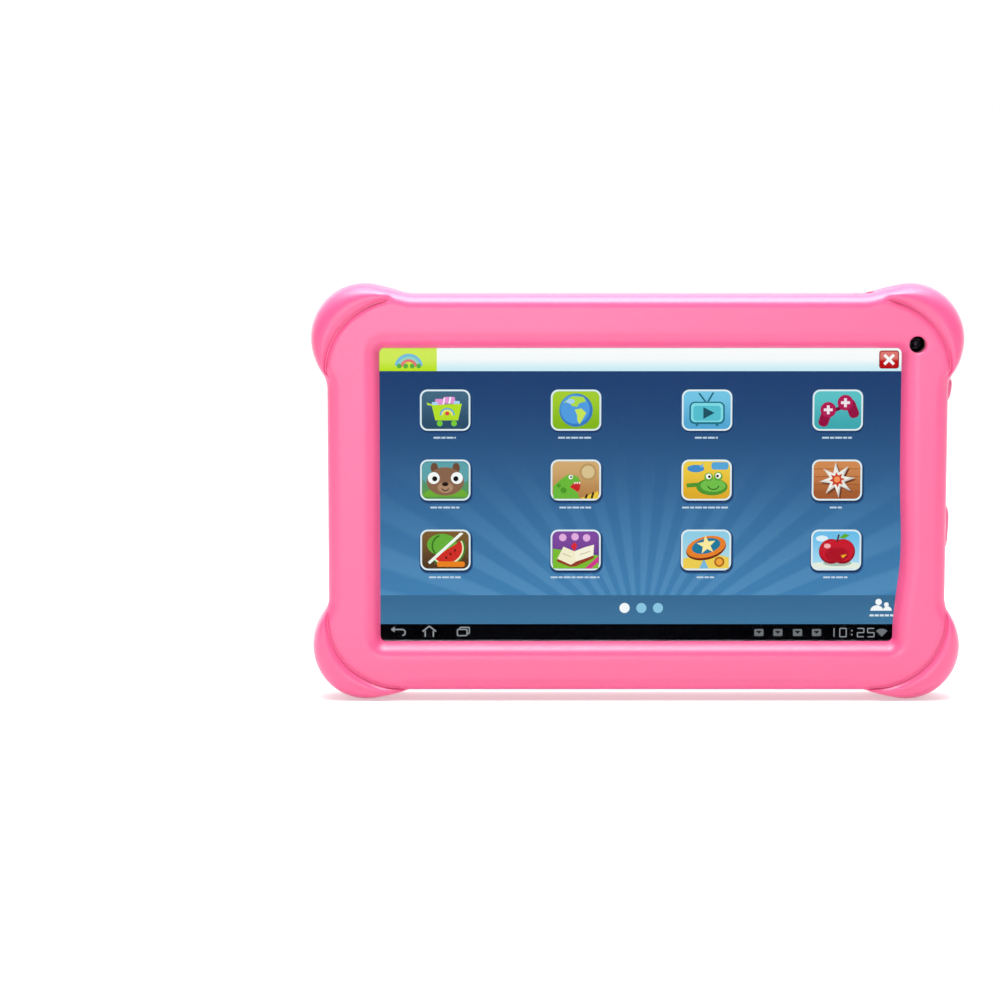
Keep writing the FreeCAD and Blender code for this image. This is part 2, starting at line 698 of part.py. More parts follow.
def power_key():
    """Plastic key that the soft pad presses: a head through the wall and a flange that keeps it in."""
    head = box(86.4, WALL_X + 0.45, KEY_Y - 1.3, KEY_Y + 1.3, POWER_Z - 3.3, POWER_Z + 3.3)
    flange = box(FLANGE_IN_X, WALL_INNER_X - 0.05, KEY_Y - 1.6, KEY_Y + 1.6, POWER_Z - 4.2, POWER_Z + 4.2)
    return joined([head, flange])


def volume_key():
    """Rocker that turns about its own pivot pin, with one switch behind each end."""
    head = box(86.3, WALL_X + 0.45, KEY_Y - 1.3, KEY_Y + 1.3, VOLUME_Z - 7.0, VOLUME_Z + 7.0)
    flange = box(FLANGE_IN_X, 86.4, KEY_Y - 1.6, KEY_Y + 1.6, VOLUME_Z - 8.0, VOLUME_Z + 8.0)
    pivot = rod_y(0.4, PIVOT_X, VOLUME_Z, 0.1, COVER_INNER + 0.5)
    return joined([head, flange, pivot])


# ---------------------------------------------------------------- battery
def battery_cell():
    x, z, width, height = BATTERY
    cell = plate(width, height, 1.5, 0.95, 4.5, x, z)
    return cell.makeFillet(0.9, edges_at(cell, 0.95) + edges_at(cell, 4.5))


def battery_tape():
    x, z, width, height = BATTERY
    return block(x, z, width - 14, height - 14, 4.5, COVER_INNER - 0.02)


def battery_guard():
    """Small safety board along the top of the cell, with its two chips."""
    board = box(-24, 20, 1.5, 2.2, 14.3, 17.6)
    chips = [box(x, x + 3.2, 2.2, 3.1, 14.9, 17.0) for x in (-16.0, -4.0)]
    return joined([board, *chips])


def battery_plug():
    plug = box(37.4, 42.6, BOARD_BACK, 4.6, 13.2, 18.6)
    return plug.cut([rod(0.56, V(36, 3.4, z), V(38.6, 3.4, z)) for z in (15.0, 16.8)])


def battery_lead(z_start, z_end):
    points = [(17.0, 2.78, z_start), (24.0, 2.9, z_start + 0.6), (31.0, 3.4, z_end), (38.4, 3.4, z_end)]
    return wire_lead([V(*point) for point in points], 0.5)


# ---------------------------------------------------------------- speaker
def speaker_plate(width, height, y0, y1):
    """A plate with round ends over the speaker."""
    return plate(width, height, height / 2 - 0.01, y0, y1, SPEAKER_X, SPEAKER_Z)


def speaker_frame():
    shell = speaker_plate(28.0, 15.0, SPEAKER_FRONT, SPEAKER_BACK)
    return shell.cut(speaker_plate(26.4, 13.4, SPEAKER_FRONT + 0.6, SPEAKER_BACK + 1))


def speaker_magnet():
    """Magnet and pole in a steel cup, with a round gap for the coil."""
    cup = rod_y(5.4, SPEAKER_X, SPEAKER_Z, SPEAKER_FRONT + 0.6, SPEAKER_FRONT + 2.2)
    gap = rod_y(4.6, SPEAKER_X, SPEAKER_Z, SPEAKER_FRONT + 0.9, SPEAKER_FRONT + 3)
    pole = rod_y(3.6, SPEAKER_X, SPEAKER_Z, SPEAKER_FRONT + 0.9, SPEAKER_FRONT + 2.2)
    return cup.cut(gap).fuse(pole).removeSplitter()


def speaker_cone():
    """Diaphragm with its coil former, which moves in and out in the magnet's gap."""
    sheet = speaker_plate(25.6, 12.6, 4.0, 4.2)
    dome = rod_y(4.0, SPEAKER_X, SPEAKER_Z, 4.1, 4.4)
    coil = rod_y(4.3, SPEAKER_X, SPEAKER_Z, SPEAKER_FRONT + 1.3, 4.1)
    coil = coil.cut(rod_y(3.9, SPEAKER_X, SPEAKER_Z, SPEAKER_FRONT, 4.0))
    return joined([sheet, dome, coil])


def speaker_gasket():
    outer = speaker_plate(28.0, 15.0, SPEAKER_BACK, COVER_INNER - 0.02)
    return outer.cut(speaker_plate(25.0, 12.0, SPEAKER_BACK - 1, COVER_INNER + 1))


def speaker_leads():
    leads = []
    for dz in (0.0, 1.4):
        leads.append(
            wire_lead(
                [
                    V(-36.9, 2.65, 33.0 + dz),
                    V(-28.0, 2.65, 33.0 + dz),
                    V(-16.0, 2.65, 29.0 + dz),
                    V(4.0, 2.65, 28.0 + dz),
                    V(24.0, 2.65, 29.5 + dz),
                    V(34.0, 2.65, 33.0 + dz),
                    V(41.0, 2.65, 33.0 + dz),
                ],
                0.4,
            )
        )
    return Part.makeCompound(leads)


# ---------------------------------------------------------------- aerial and screws
def wifi_antenna():
    return box(-14.0, 22.0, 0.9, 4.7, 52.6, 52.9)


def antenna_cable():
    route = [
        (18.0, 2.75, 52.1),
        (30.0, 2.75, 51.6),
        (38.5, 2.75, 47.0),
        (41.0, 2.8, 40.0),
        (42.6, 3.15, 35.0),
        (45.2, 3.15, 31.6),
    ]
    return wire_lead([V(*point) for point in route], 0.4)


def screws(places, head_r, head_y0, head_y1, shank_r, tip_y):
    """Pan-head screws driven from the back, each with a cross recess."""
    made = []
    for x, z in places:
        head = rod_y(head_r, x, z, head_y0, head_y1)
        shank = rod_y(shank_r, x, z, tip_y, head_y0 + 0.1)
        cross = [block(x, z, w, h, head_y1 - 0.35, head_y1 + 1) for w, h in ((1.3, 0.3), (0.3, 1.3))]
        made.append(joined([head, shank]).cut(cross))
    return Part.makeCompound(made)


# ---------------------------------------------------------------- list of pieces
PARTS = dict(
    bumper_case=bumper_case(),
    power_pad=button_pad(POWER_PAD_L, POWER_PAD_RISE, POWER_Z),
    volume_pad=button_pad(VOLUME_PAD_L, VOLUME_PAD_RISE, VOLUME_Z),
    cover_glass=cover_glass(),
    border_print=border_print(),
    touch_sensor=touch_sensor(),
    glass_adhesive=glass_adhesive(),
    touch_flex=touch_flex(),
    mid_frame=mid_frame(),
    rear_cover=rear_cover(),
    lcd_metal_frame=lcd_metal_frame(),
    lcd_cell=lcd_layer(-2.48, -1.6, 0.4),
    diffuser_sheets=lcd_layer(-1.16, -0.78, 0.5),
    light_guide=lcd_layer(-0.74, 0.04, 0.5, -46.1),
    reflector_sheet=lcd_layer(0.08, 0.26, 0.5),
    led_strip=led_strip(),
    lcd_flex=lcd_flex(),
    camera_housing=camera_housing(),
    camera_gasket=camera_gasket(),
    camera_lens=camera_lens(),
    camera_flex=camera_flex(),
    main_board=main_board(),
    processor=chip(61.0, -6.0, 19.0, 19.0, 1.2),
    memory_chips=Part.makeCompound([chip(45.5, z, 8.0, 12.0, 1.1) for z in (-12.0, 1.5)]),
    flash_chip=leaded_chip(62.5, -26.5, 12.0, 11.0, 1.1, 12),
    power_chip=chip(76.0, -15.8, 6.0, 6.0, 0.9),
    wifi_module=wifi_module(),
    crystals=crystals(),
    inductors=inductors(),
    capacitors=capacitors(),
    flex_connectors=flex_connectors(),
    usb_shell=usb_shell(),
    usb_tongue=usb_tongue(),
    headphone_jack=headphone_jack(),
    sd_socket=sd_socket(),
    microphone=microphone(),
    power_switch=tact_switch(POWER_Z),
    volume_up_switch=tact_switch(VOLUME_Z + VOLUME_ARM),
    volume_down_switch=tact_switch(VOLUME_Z - VOLUME_ARM),
    power_plunger=plunger(POWER_Z),
    volume_up_plunger=plunger(VOLUME_Z + VOLUME_ARM),
    volume_down_plunger=plunger(VOLUME_Z - VOLUME_ARM),
    power_key=power_key(),
    volume_key=volume_key(),
    battery_cell=battery_cell(),
    battery_tape=battery_tape(),
    battery_guard=battery_guard(),
    battery_plug=battery_plug(),
    battery_lead_red=battery_lead(16.6, 16.8),
    battery_lead_black=battery_lead(15.2, 15.0),
    speaker_frame=speaker_frame(),
    speaker_magnet=speaker_magnet(),
    speaker_cone=speaker_cone(),
    speaker_gasket=speaker_gasket(),
    speaker_leads=speaker_leads(),
    wifi_antenna=wifi_antenna(),
    antenna_cable=antenna_cable(),
    board_screws=screws(BOARD_SCREWS, 1.25, BOARD_BACK, 2.9, 0.6, -1.8),
    cover_screws=screws(COVER_SCREWS, 1.4, 5.3, 6.1, 0.7, -1.8),
)


def export():
    """Writes each piece to parts/NODE.step, lifted so that the tablet stands on z = 0."""
    os.makedirs("parts", exist_ok=True)
    for name, shape in PARTS.items():
        placed = shape.copy()
        placed.translate(V(0, 0, RISE))
        placed.exportStep(f"parts/{name}.step")
        solids = placed.Solids
        good = all(s.isValid() and s.Volume > 0 for s in solids)
        print(f"{name}: {len(solids)} solids, {placed.Volume:.1f} mm3{'' if good else ' NOT VALID'}")


export()
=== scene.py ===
import json
import math

import bmesh
import bpy
import numpy as np
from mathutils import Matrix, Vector


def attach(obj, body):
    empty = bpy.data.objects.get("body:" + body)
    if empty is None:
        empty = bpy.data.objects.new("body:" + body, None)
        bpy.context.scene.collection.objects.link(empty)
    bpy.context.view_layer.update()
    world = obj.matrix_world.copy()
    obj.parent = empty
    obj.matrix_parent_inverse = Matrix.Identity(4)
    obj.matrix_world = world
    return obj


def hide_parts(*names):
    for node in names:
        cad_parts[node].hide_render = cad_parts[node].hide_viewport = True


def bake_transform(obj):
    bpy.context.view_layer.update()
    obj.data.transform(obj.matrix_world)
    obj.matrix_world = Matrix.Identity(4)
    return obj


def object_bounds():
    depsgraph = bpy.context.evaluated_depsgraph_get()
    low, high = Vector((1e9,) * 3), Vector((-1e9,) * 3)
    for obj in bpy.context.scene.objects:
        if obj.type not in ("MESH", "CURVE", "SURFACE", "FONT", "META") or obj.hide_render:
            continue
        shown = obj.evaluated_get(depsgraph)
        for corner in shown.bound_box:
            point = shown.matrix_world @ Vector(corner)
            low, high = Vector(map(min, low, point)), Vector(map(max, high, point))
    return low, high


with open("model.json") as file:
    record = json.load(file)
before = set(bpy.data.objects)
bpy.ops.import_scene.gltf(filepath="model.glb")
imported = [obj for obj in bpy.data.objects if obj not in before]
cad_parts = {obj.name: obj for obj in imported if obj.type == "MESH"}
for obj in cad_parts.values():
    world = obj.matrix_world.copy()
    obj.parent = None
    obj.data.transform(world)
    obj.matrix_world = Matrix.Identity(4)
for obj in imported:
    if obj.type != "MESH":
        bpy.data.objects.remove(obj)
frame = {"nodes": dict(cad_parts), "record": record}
cad_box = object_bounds()

# Lengths below are in millimetres, about the middle of the tablet: x to the right, y from the screen to the
# back, z up. put() turns them into the frame's metres.
MM = 0.001
MIDDLE = (cad_box[0] + cad_box[1]) / 2

# ---------------------------------------------------------------- sizes
HALF_W, HALF_H, HALF_T = 90.5, 58.1, 8.8
CORNER_R = 20.6
EDGE_R = 4.0                                # rounding of the straight edges, front and back
BUMP_X, BUMP_Z = 79.6, 45.3                 # middle of a corner bump
BUMP_RX, BUMP_RZ = 15.6, 15.7
BUMP_CROWN = 9.15                           # half thickness over a bump
BUMP_EDGE = 5.9
CREASE_X, CREASE_Z, CREASE_R = 70.5, 36.1, 20.4
CREASE_DEPTH = 0.85
DRAWN_DEPTH = 1.15                          # the depth that edge_rings() lists its dips for
NOTCH_X, NOTCH_Z = 66.4, 33.9               # where the crease runs out over the top and side edges
NOTCH_DEPTH = 0.12
LIP_Y = -4.6
WINDOW = (152.2, 86.5, 1.6, 0.8, -0.5)      # width, height, corner radius, x, z
CAVITY = (176.8, 109.6, 9.2, 0.0, 0.0)
CAVITY_BACK = 6.2
CAMERA_X, CAMERA_Z = 81.15, 43.95
JACK_X, JACK_Y = 66.3, 2.84
USB_Y, USB_Z = 3.55, 11.0
MIC_Y, MIC_Z = 3.5, 1.2
SPEAKER_X, SPEAKER_Z = -51.0, 35.2
KEY_Y = 3.1
PICTURE_X = (-76.5, 77.7)
PICTURE_Z = (-43.35, 42.55)
PICTURE_Y = -2.56
LAYER = 0.012                               # each shape of the picture lies this far in front of the last


# ---------------------------------------------------------------- colours
def rgb(r, g, b):
    """A screen colour, 0 to 255, as the linear colour that shaders take."""
    def linear(c):
        c /= 255
        return c / 12.92 if c <= 0.04045 else ((c + 0.055) / 1.055) ** 2.4
    return linear(r), linear(g), linear(b), 1.0


# ---------------------------------------------------------------- material tools
class Paint:
    """A material with one Principled shader, and short names for wiring nodes to it."""

    def __init__(self, name, **sockets):
        self.material = bpy.data.materials.new(name)
        self.material.use_nodes = True
        self.tree = self.material.node_tree
        self.shader = self.tree.nodes["Principled BSDF"]
        for key, value in sockets.items():
            self.shader.inputs[key.replace("_", " ")].default_value = value
        self.place = self.add("ShaderNodeTexCoord").outputs["Object"]

    def add(self, kind, **inputs):
        node = self.tree.nodes.new(kind)
        for key, value in inputs.items():
            self.feed(node.inputs[key.replace("_", " ")], value)
        return node

    def feed(self, socket, value):
        if isinstance(value, bpy.types.NodeSocket):
            self.tree.links.new(value, socket)
        else:
            socket.default_value = value

    def math(self, operation, a, b=0.0):
        node = self.add("ShaderNodeMath")
        node.operation = operation
        self.feed(node.inputs[0], a)
        self.feed(node.inputs[1], b)
        return node.outputs[0]

    def span(self, value, low, high, to_low=0.0, to_high=1.0):
        """value, mapped smoothly from low..high to to_low..to_high and held at the ends."""
        node = self.add("ShaderNodeMapRange", Value=value)
        node.interpolation_type = "SMOOTHSTEP"
        for i, number in enumerate((low, high, to_low, to_high), start=1):
            node.inputs[i].default_value = number
        return node.outputs[0]

    def noise(self, scale, detail=3.0, rough=0.55, stretch=(1, 1, 1)):
        where = self.add("ShaderNodeMapping", Vector=self.place, Scale=stretch)
        made = self.add("ShaderNodeTexNoise", Vector=where.outputs[0], Scale=scale, Detail=detail)
        made.inputs["Roughness"].default_value = rough
        return made.outputs["Fac"]

    def mix(self, factor, a, b):
        node = self.add("ShaderNodeMix")
        node.data_type = "RGBA"
        self.feed(node.inputs[0], factor)
        self.feed(node.inputs[6], a)
        self.feed(node.inputs[7], b)
        return node.outputs[2]

    def set(self, **sockets):
        for key, value in sockets.items():
            self.feed(self.shader.inputs[key.replace("_", " ")], value)

    def bump(self, height, distance_mm, strength=1.0):
        node = self.add("ShaderNodeBump", Height=height, Distance=distance_mm * MM, Strength=strength)
        self.set(Normal=node.outputs[0])

    def axis(self, name):
        """Place along X, Y or Z in metres."""
        return self.add("ShaderNodeSeparateXYZ", Vector=self.place).outputs[name]


def mottled(name, light, dark, rough, grain_mm=1.0, bump_mm=0.01, **sockets):
    """A moulded, printed or coated surface: two close colours, uneven gloss and a fine grain."""
    paint = Paint(name, **sockets)
    grain = paint.noise(1 / (grain_mm * MM))
    broad = paint.noise(1 / (12 * grain_mm * MM), detail=2.0)
    gloss = paint.span(grain, 0.3, 0.7, rough - 0.07, rough + 0.07)
    paint.set(Base_Color=paint.mix(broad, dark, light), Roughness=gloss)
    paint.bump(grain, bump_mm)
    return paint.material


def brushed(name, light, dark, rough):
    """Metal with fine lines along X."""
    paint = Paint(name, Metallic=1.0)
    lines = paint.noise(400, detail=4.0, stretch=(1, 30, 30))
    gloss = paint.span(lines, 0.3, 0.7, rough - 0.08, rough + 0.1)
    paint.set(Base_Color=paint.mix(lines, dark, light), Roughness=gloss)
    paint.bump(lines, 0.004)
    return paint.material


def silicone():
    """Soft pink rubber: fine skin, slight cloudiness, a dusty sheen, and light that soaks in a little."""
    paint = Paint(
        "pink_silicone",
        IOR=1.5,
        Specular_IOR_Level=0.9,
        Subsurface_Weight=0.1,
        Subsurface_Radius=(1.0, 0.35, 0.45),
        Subsurface_Scale=1.4 * MM,
        Sheen_Weight=0.25,
        Sheen_Roughness=0.35,
    )
    cloud = paint.noise(28, detail=2.0)
    skin = paint.noise(5200, detail=2.0)
    dimple = paint.noise(900, detail=3.0)
    paint.set(
        Base_Color=paint.mix(cloud, rgb(220, 72, 126), rgb(223, 79, 133)),
        Roughness=paint.span(dimple, 0.3, 0.7, 0.37, 0.46),
    )
    paint.bump(paint.math("ADD", skin, paint.math("MULTIPLY", dimple, 1.6)), 0.012, 0.6)
    return paint.material


def glass():
    """Clear cover glass, very slightly smeared."""
    paint = Paint("clear_glass", Transmission_Weight=1.0, IOR=1.04, Base_Color=rgb(252, 253, 253))
    paint.set(Roughness=paint.span(paint.noise(60, detail=4.0), 0.5, 0.85, 0.0, 0.03))
    return paint.material


def film(name, tint, ior=1.04):
    """A clear plastic sheet."""
    paint = Paint(name, Transmission_Weight=1.0, IOR=ior)
    paint.set(Base_Color=paint.mix(paint.noise(50), tint, rgb(253, 253, 253)), Roughness=0.0)
    return paint.material


def circuit_board():
    """Green solder mask with paler copper runs under it and tinned pads."""
    paint = Paint("green_board", Roughness=0.35)
    where = paint.add("ShaderNodeMapping", Vector=paint.place, Scale=(1, 0, 1))
    runs = paint.add("ShaderNodeTexVoronoi", Vector=where.outputs[0], Scale=420.0)
    runs.distance = "CHEBYCHEV"
    runs.feature = "DISTANCE_TO_EDGE"
    line = paint.span(runs.outputs["Distance"], 0.02, 0.06)
    pads = paint.add("ShaderNodeTexVoronoi", Vector=where.outputs[0], Scale=900.0)
    dot = paint.span(pads.outputs["Distance"], 0.1, 0.16)
    green = paint.mix(line, rgb(40, 128, 74), rgb(14, 82, 44))
    paint.set(Base_Color=paint.mix(dot, rgb(196, 190, 160), green))
    paint.bump(line, 0.02)
    return paint.material


def copper_film():
    """Amber film with fine copper runs in it."""
    paint = Paint("amber_film", Roughness=0.35)
    wave = paint.add("ShaderNodeTexWave", Vector=paint.place, Scale=500.0, Distortion=0.3)
    runs = paint.span(wave.outputs["Fac"], 0.35, 0.65)
    paint.set(Base_Color=paint.mix(runs, rgb(168, 96, 30), rgb(208, 138, 52)))
    paint.bump(wave.outputs["Fac"], 0.01)
    return paint.material


def dark_cell():
    """Display glass behind the picture: near black, with the faint grid of its pixels."""
    paint = Paint("display_glass", Roughness=0.25)
    brick = paint.add("ShaderNodeTexBrick", Vector=paint.place, Scale=2000.0)
    paint.set(Base_Color=paint.mix(brick.outputs["Fac"], rgb(13, 14, 18), rgb(7, 8, 10)))
    return paint.material


# ---------------------------------------------------------------- mesh tools
def put(name, points, faces, materials, body="root", slots=None):
    """A mesh object from points in tablet millimetres."""
    mesh = bpy.data.meshes.new(name)
    placed = np.asarray(points, float) * MM + np.array(MIDDLE)
    mesh.from_pydata(placed.tolist(), [], [list(map(int, f)) for f in faces])
    for material in materials:
        mesh.materials.append(material)
    if slots:
        mesh.polygons.foreach_set("material_index", slots)
    made = bpy.data.objects.new(name, mesh)
    bpy.context.scene.collection.objects.link(made)
    if body:
        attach(made, body)
    return made


def skin(rings, caps=(True, True)):
    """Quads between closed rings of equal length, and a flat face on the first and last ring."""
    count = len(rings[0])
    points = np.concatenate(rings)
    faces = []
    for r in range(len(rings) - 1):
        a, b = r * count, (r + 1) * count
        for i in range(count):
            j = (i + 1) % count
            faces.append((a + i, a + j, b + j, b + i))
    if caps[0]:
        faces.append(tuple(range(count - 1, -1, -1)))
    if caps[1]:
        last = (len(rings) - 1) * count
        faces.append(tuple(range(last, last + count)))
    return points, faces


def outwards(piece):
    work = bmesh.new()
    work.from_mesh(piece.data)
    bmesh.ops.recalc_face_normals(work, faces=work.faces)
    work.to_mesh(piece.data)
    work.free()


def settle(piece):
    """Applies the piece's modifiers to its mesh."""
    bpy.context.view_layer.update()
    seen = piece.evaluated_get(bpy.context.evaluated_depsgraph_get())
    done = bpy.data.meshes.new_from_object(seen)
    piece.modifiers.clear()
    piece.data = done


def carve(piece, cutter):
    """Cuts cutter out of piece, exactly, and removes the cutter."""
    outwards(cutter)
    step = piece.modifiers.new("cut", "BOOLEAN")
    step.operation = "DIFFERENCE"
    step.solver = "EXACT"
    step.object = cutter
    settle(piece)
    bpy.data.objects.remove(cutter)


def crisp(piece, angle_deg=35.0):
    """Smooth shading that keeps real edges, weighted so that flat faces stay flat."""
    piece.data.shade_smooth()
    piece.data.set_sharp_from_angle(angle=math.radians(angle_deg))
    weight = piece.modifiers.new("weight", "WEIGHTED_NORMAL")
    weight.keep_sharp = True
    weight.weight = 60
    settle(piece)


def ease(t):
    t = np.clip(t, 0, 1)
    return t * t * (3 - 2 * t)


# ---------------------------------------------------------------- soft case
def round_box(x, z, width, height, radius, cx, cz):
    """Distance outside a rectangle with round corners."""
    qx = abs(x - cx) - (width / 2 - radius)
    qz = abs(z - cz) - (height / 2 - radius)
    return np.hypot(np.maximum(qx, 0), np.maximum(qz, 0)) + np.minimum(np.maximum(qx, qz), 0) - radius


def case_outside(x, z):
    """Distance outside the case: a round-cornered slab that flows into an oval bump at each corner."""
    body = round_box(x, z, 2 * HALF_W, 2 * HALF_H, CORNER_R, 0, 0)
    oval = np.hypot((abs(x) - BUMP_X) / BUMP_RX, (abs(z) - BUMP_Z) / BUMP_RZ)
    bump = (oval - 1) * BUMP_RX
    flow = 2.6 + 1.2 * ease((80 - abs(x)) / 8)
    overlap = np.maximum(flow - abs(body - bump), 0) / flow
    return np.minimum(body, bump) - overlap**2 * flow / 4


class Columns:
    """Rays that start inside the case and run out to its edge, all the way round it.

    Along the straight edges they are square to the edge. At each corner they fan out from the centre of the
    crease that parts the bump from the flat face.
    """

    def __init__(self):
        near_top = np.linspace(63.5, CREASE_X, 21)
        top = np.concatenate([np.linspace(0, 57, 20), np.linspace(60, 63, 3), near_top])
        fan = np.radians(np.linspace(90, 0, 49))[1:]
        near_side = np.linspace(CREASE_Z, 31.5, 14)[1:]
        side = np.concatenate([near_side, np.linspace(30.5, 24, 5), np.linspace(21, 0, 8)])
        quarter = [(x, CREASE_Z, 0.0, 1.0) for x in top]
        quarter += [(CREASE_X, CREASE_Z, math.cos(a), math.sin(a)) for a in fan]
        quarter += [(CREASE_X, z, 1.0, 0.0) for z in side]
        quarter = np.array(quarter)
        lower = (quarter * (1, -1, 1, -1))[-2::-1]
        left = (np.concatenate([quarter, lower]) * (-1, 1, -1, 1))[-2:0:-1]
        every = np.concatenate([quarter, lower, left])
        self.start = every[:, :2]
        self.way = every[:, 2:]
        x, z = abs(self.start.T)
        self.on_side = abs(self.way[:, 0]) > 0.999999
        self.on_top = abs(self.way[:, 0]) < 1e-6
        self.turn = np.degrees(np.arctan2(abs(self.way[:, 1]), abs(self.way[:, 0])))
        self.x, self.z = x, z
        self.upper = (self.start[:, 1] > 0) & (self.way[:, 1] >= 0)
        self.outline = self.reach(case_outside)

    def reach(self, outside, far=70.0):
        """How far along each ray the shape's edge is."""
        near = np.zeros(len(self.start))
        far = np.full(len(self.start), far)
        for _ in range(44):
            middle = (near + far) / 2
            x, z = (self.start + self.way * middle[:, None]).T
            is_out = outside(x, z) > 0
            far = np.where(is_out, middle, far)
            near = np.where(is_out, near, middle)
        return (near + far) / 2

    def ring(self, reach, y):
        x, z = (self.start + self.way * reach[:, None]).T
        return np.stack([x, np.broadcast_to(y, x.shape), z], axis=1)

    def crease(self):
        """Distance along each ray to the crease. It swings out to the edge beyond the corner."""
        corner = CREASE_R + 0.6 * ease((self.turn - 55) / 35)
        top = CREASE_R + 0.6 + np.clip(CREASE_X - self.x, 0, 4.1) * 0.25
        return np.where(self.on_top & (self.x < CREASE_X - 1e-6), top, corner)

    def depth(self):
        """How much of a crease there is at each ray, from 0 to 1."""
        from_top = ease((self.x - NOTCH_X + 0.3) / 3.2)
        from_side = ease((self.z - NOTCH_Z + 0.4) / 2.8)
        made = np.where(self.on_side, from_side, np.where(self.on_top, from_top, 1.0))
        return np.where(self.upper & ~self.on_side, ease((90 - self.turn) / 9), made)

    def notch(self):
        """How far the crease bites into the outline where it runs out over the edge."""
        at_top = np.exp(-(((self.x - NOTCH_X - 0.5) / 0.9) ** 2)) * (self.on_top & ~self.upper)
        at_side = np.exp(-(((self.z - NOTCH_Z) / 0.8) ** 2)) * self.on_side
        return NOTCH_DEPTH * np.maximum(at_top, at_side)


def lip_profile():
    """(offset from the window's edge, y) from the glass out to the flat front."""
    slope = [(0.0, LIP_Y), (0.05, -4.78), (0.3, -5.35), (0.7, -6.05), (1.15, -6.68), (1.6, -7.23)]
    turn = [(2.1, -7.7), (2.6, -8.08), (3.15, -8.39), (3.75, -8.62), (4.4, -8.76), (5.1, -HALF_T)]
    return slope + turn


def edge_round(from_edge):
    """Half thickness of the plain case this far in from its edge."""
    inward = np.clip(EDGE_R - from_edge, 0, EDGE_R)
    return HALF_T - EDGE_R + np.sqrt(EDGE_R**2 - inward**2)


def edge_rings(columns):
    """(reach, half thickness) of rings from the flat face, over the crease and the bump, to the side."""
    crease, depth, notch = columns.crease(), columns.depth(), columns.notch()
    outline = columns.outline
    width = np.maximum(outline - crease, 0.02)
    fullness = ease(width / 4.5)
    floor_y = edge_round(width) - CREASE_DEPTH * ease(width / 1.2 + 0.3)
    crown_y = floor_y + 0.25 + (BUMP_CROWN - floor_y - 0.25) * fullness
    drop = np.minimum(1.6 + (BUMP_EDGE - 1.6) * fullness, crown_y - 2.2)
    before = [(-2.8, 0.0), (-2.0, 0.0), (-1.45, 0.04), (-1.0, 0.17), (-0.62, 0.42), (-0.34, 0.74)]
    rings = []

    def blended(plain_reach, made_reach, made_y):
        reach = plain_reach + (made_reach - plain_reach) * depth**0.4
        plain_y = edge_round(outline - reach)
        rings.append((reach, plain_y + (made_y - plain_y) * depth**2.5))

    for i, (offset, dip) in enumerate(before):
        made = np.minimum(crease + offset, outline)
        made_y = edge_round(outline - made) - dip * CREASE_DEPTH / DRAWN_DEPTH
        blended(outline - EDGE_R - 1.8 + 0.36 * i, made, made_y)
    after = 19
    for i in range(after):
        t = i / (after - 1)
        plain = outline - EDGE_R * (1 - math.sin(math.pi / 2 * t))
        if i < 2:
            made, y = crease + 0.3 * i - 0.15, floor_y
        elif i <= 9:
            s = (i - 1) / 8
            made = crease + 0.15 + 0.32 * width * s**1.3
            y = floor_y + (crown_y - floor_y) * math.sin(math.pi / 2 * s**1.3) ** 0.9
        else:
            over = math.pi / 2 * (i - 9) / (after - 10)
            start = 0.15 + 0.32 * width
            made = crease + start + (width - start) * math.sin(over)
            y = crown_y - drop * (1 - math.cos(over))
        blended(plain, np.minimum(made, outline), y)
        rings[-1] = (rings[-1][0] - notch * ease(t * 1.6), rings[-1][1])
    return rings


def sag(points, amount):
    """Lower on the right the soft lip leans in over the glass."""
    x, z = points[:, 0], points[:, 2]
    moved = points.copy()
    moved[:, 0] -= amount * np.where(x > 60, ease((-18 - z) / 24), 0.0)
    moved[:, 0] += 0.35 * amount * np.where(x > 60, np.exp(-(((z + 14) / 12) ** 2)), 0.0)
    return moved


def case_mesh():
    """The whole case as one closed skin: inside of the back, cavity, lip, front, side, back."""
    columns = Columns()
    rings = []
    cavity = columns.reach(lambda x, z: round_box(x, z, *CAVITY))
    width, height, radius, cx, cz = WINDOW
    rings.append(columns.ring(cavity, CAVITY_BACK))
    rings.append(columns.ring(cavity, LIP_Y))
    for offset, y in lip_profile():
        grown = (width + 2 * offset, height + 2 * offset, radius + offset, cx, cz)
        inner = columns.reach(lambda x, z: round_box(x, z, *grown))
        rings.append(sag(columns.ring(inner, y), 1.6))
    edge = edge_rings(columns)
    for share in (0.15, 0.35, 0.6, 0.85):
        rings.append(sag(columns.ring(inner + (edge[0][0] - inner) * share, -HALF_T), 1.6 * (1 - share)))
    rings += [columns.ring(reach, -y) for reach, y in edge]
    side, side_y = edge[-1]
    swell = 0.25 * columns.depth()
    for share in (0.8, 0.55, 0.3):
        rings.append(columns.ring(side + swell * (1 - share**2), -side_y * share))
    for y, rise in ((-0.3, 0.0), (-0.12, 0.05), (0.12, 0.05), (0.3, 0.0)):
        rings.append(columns.ring(side + swell + rise, y))
    for share in (0.3, 0.55, 0.8):
        rings.append(columns.ring(side + swell * (1 - share**2), side_y * share))
    rings += [columns.ring(reach, y) for reach, y in edge[::-1]]
    for share in (0.85, 0.6, 0.3, 0.0):
        rings.append(columns.ring(inner + (edge[0][0] - inner) * share, HALF_T))
    return skin(rings)


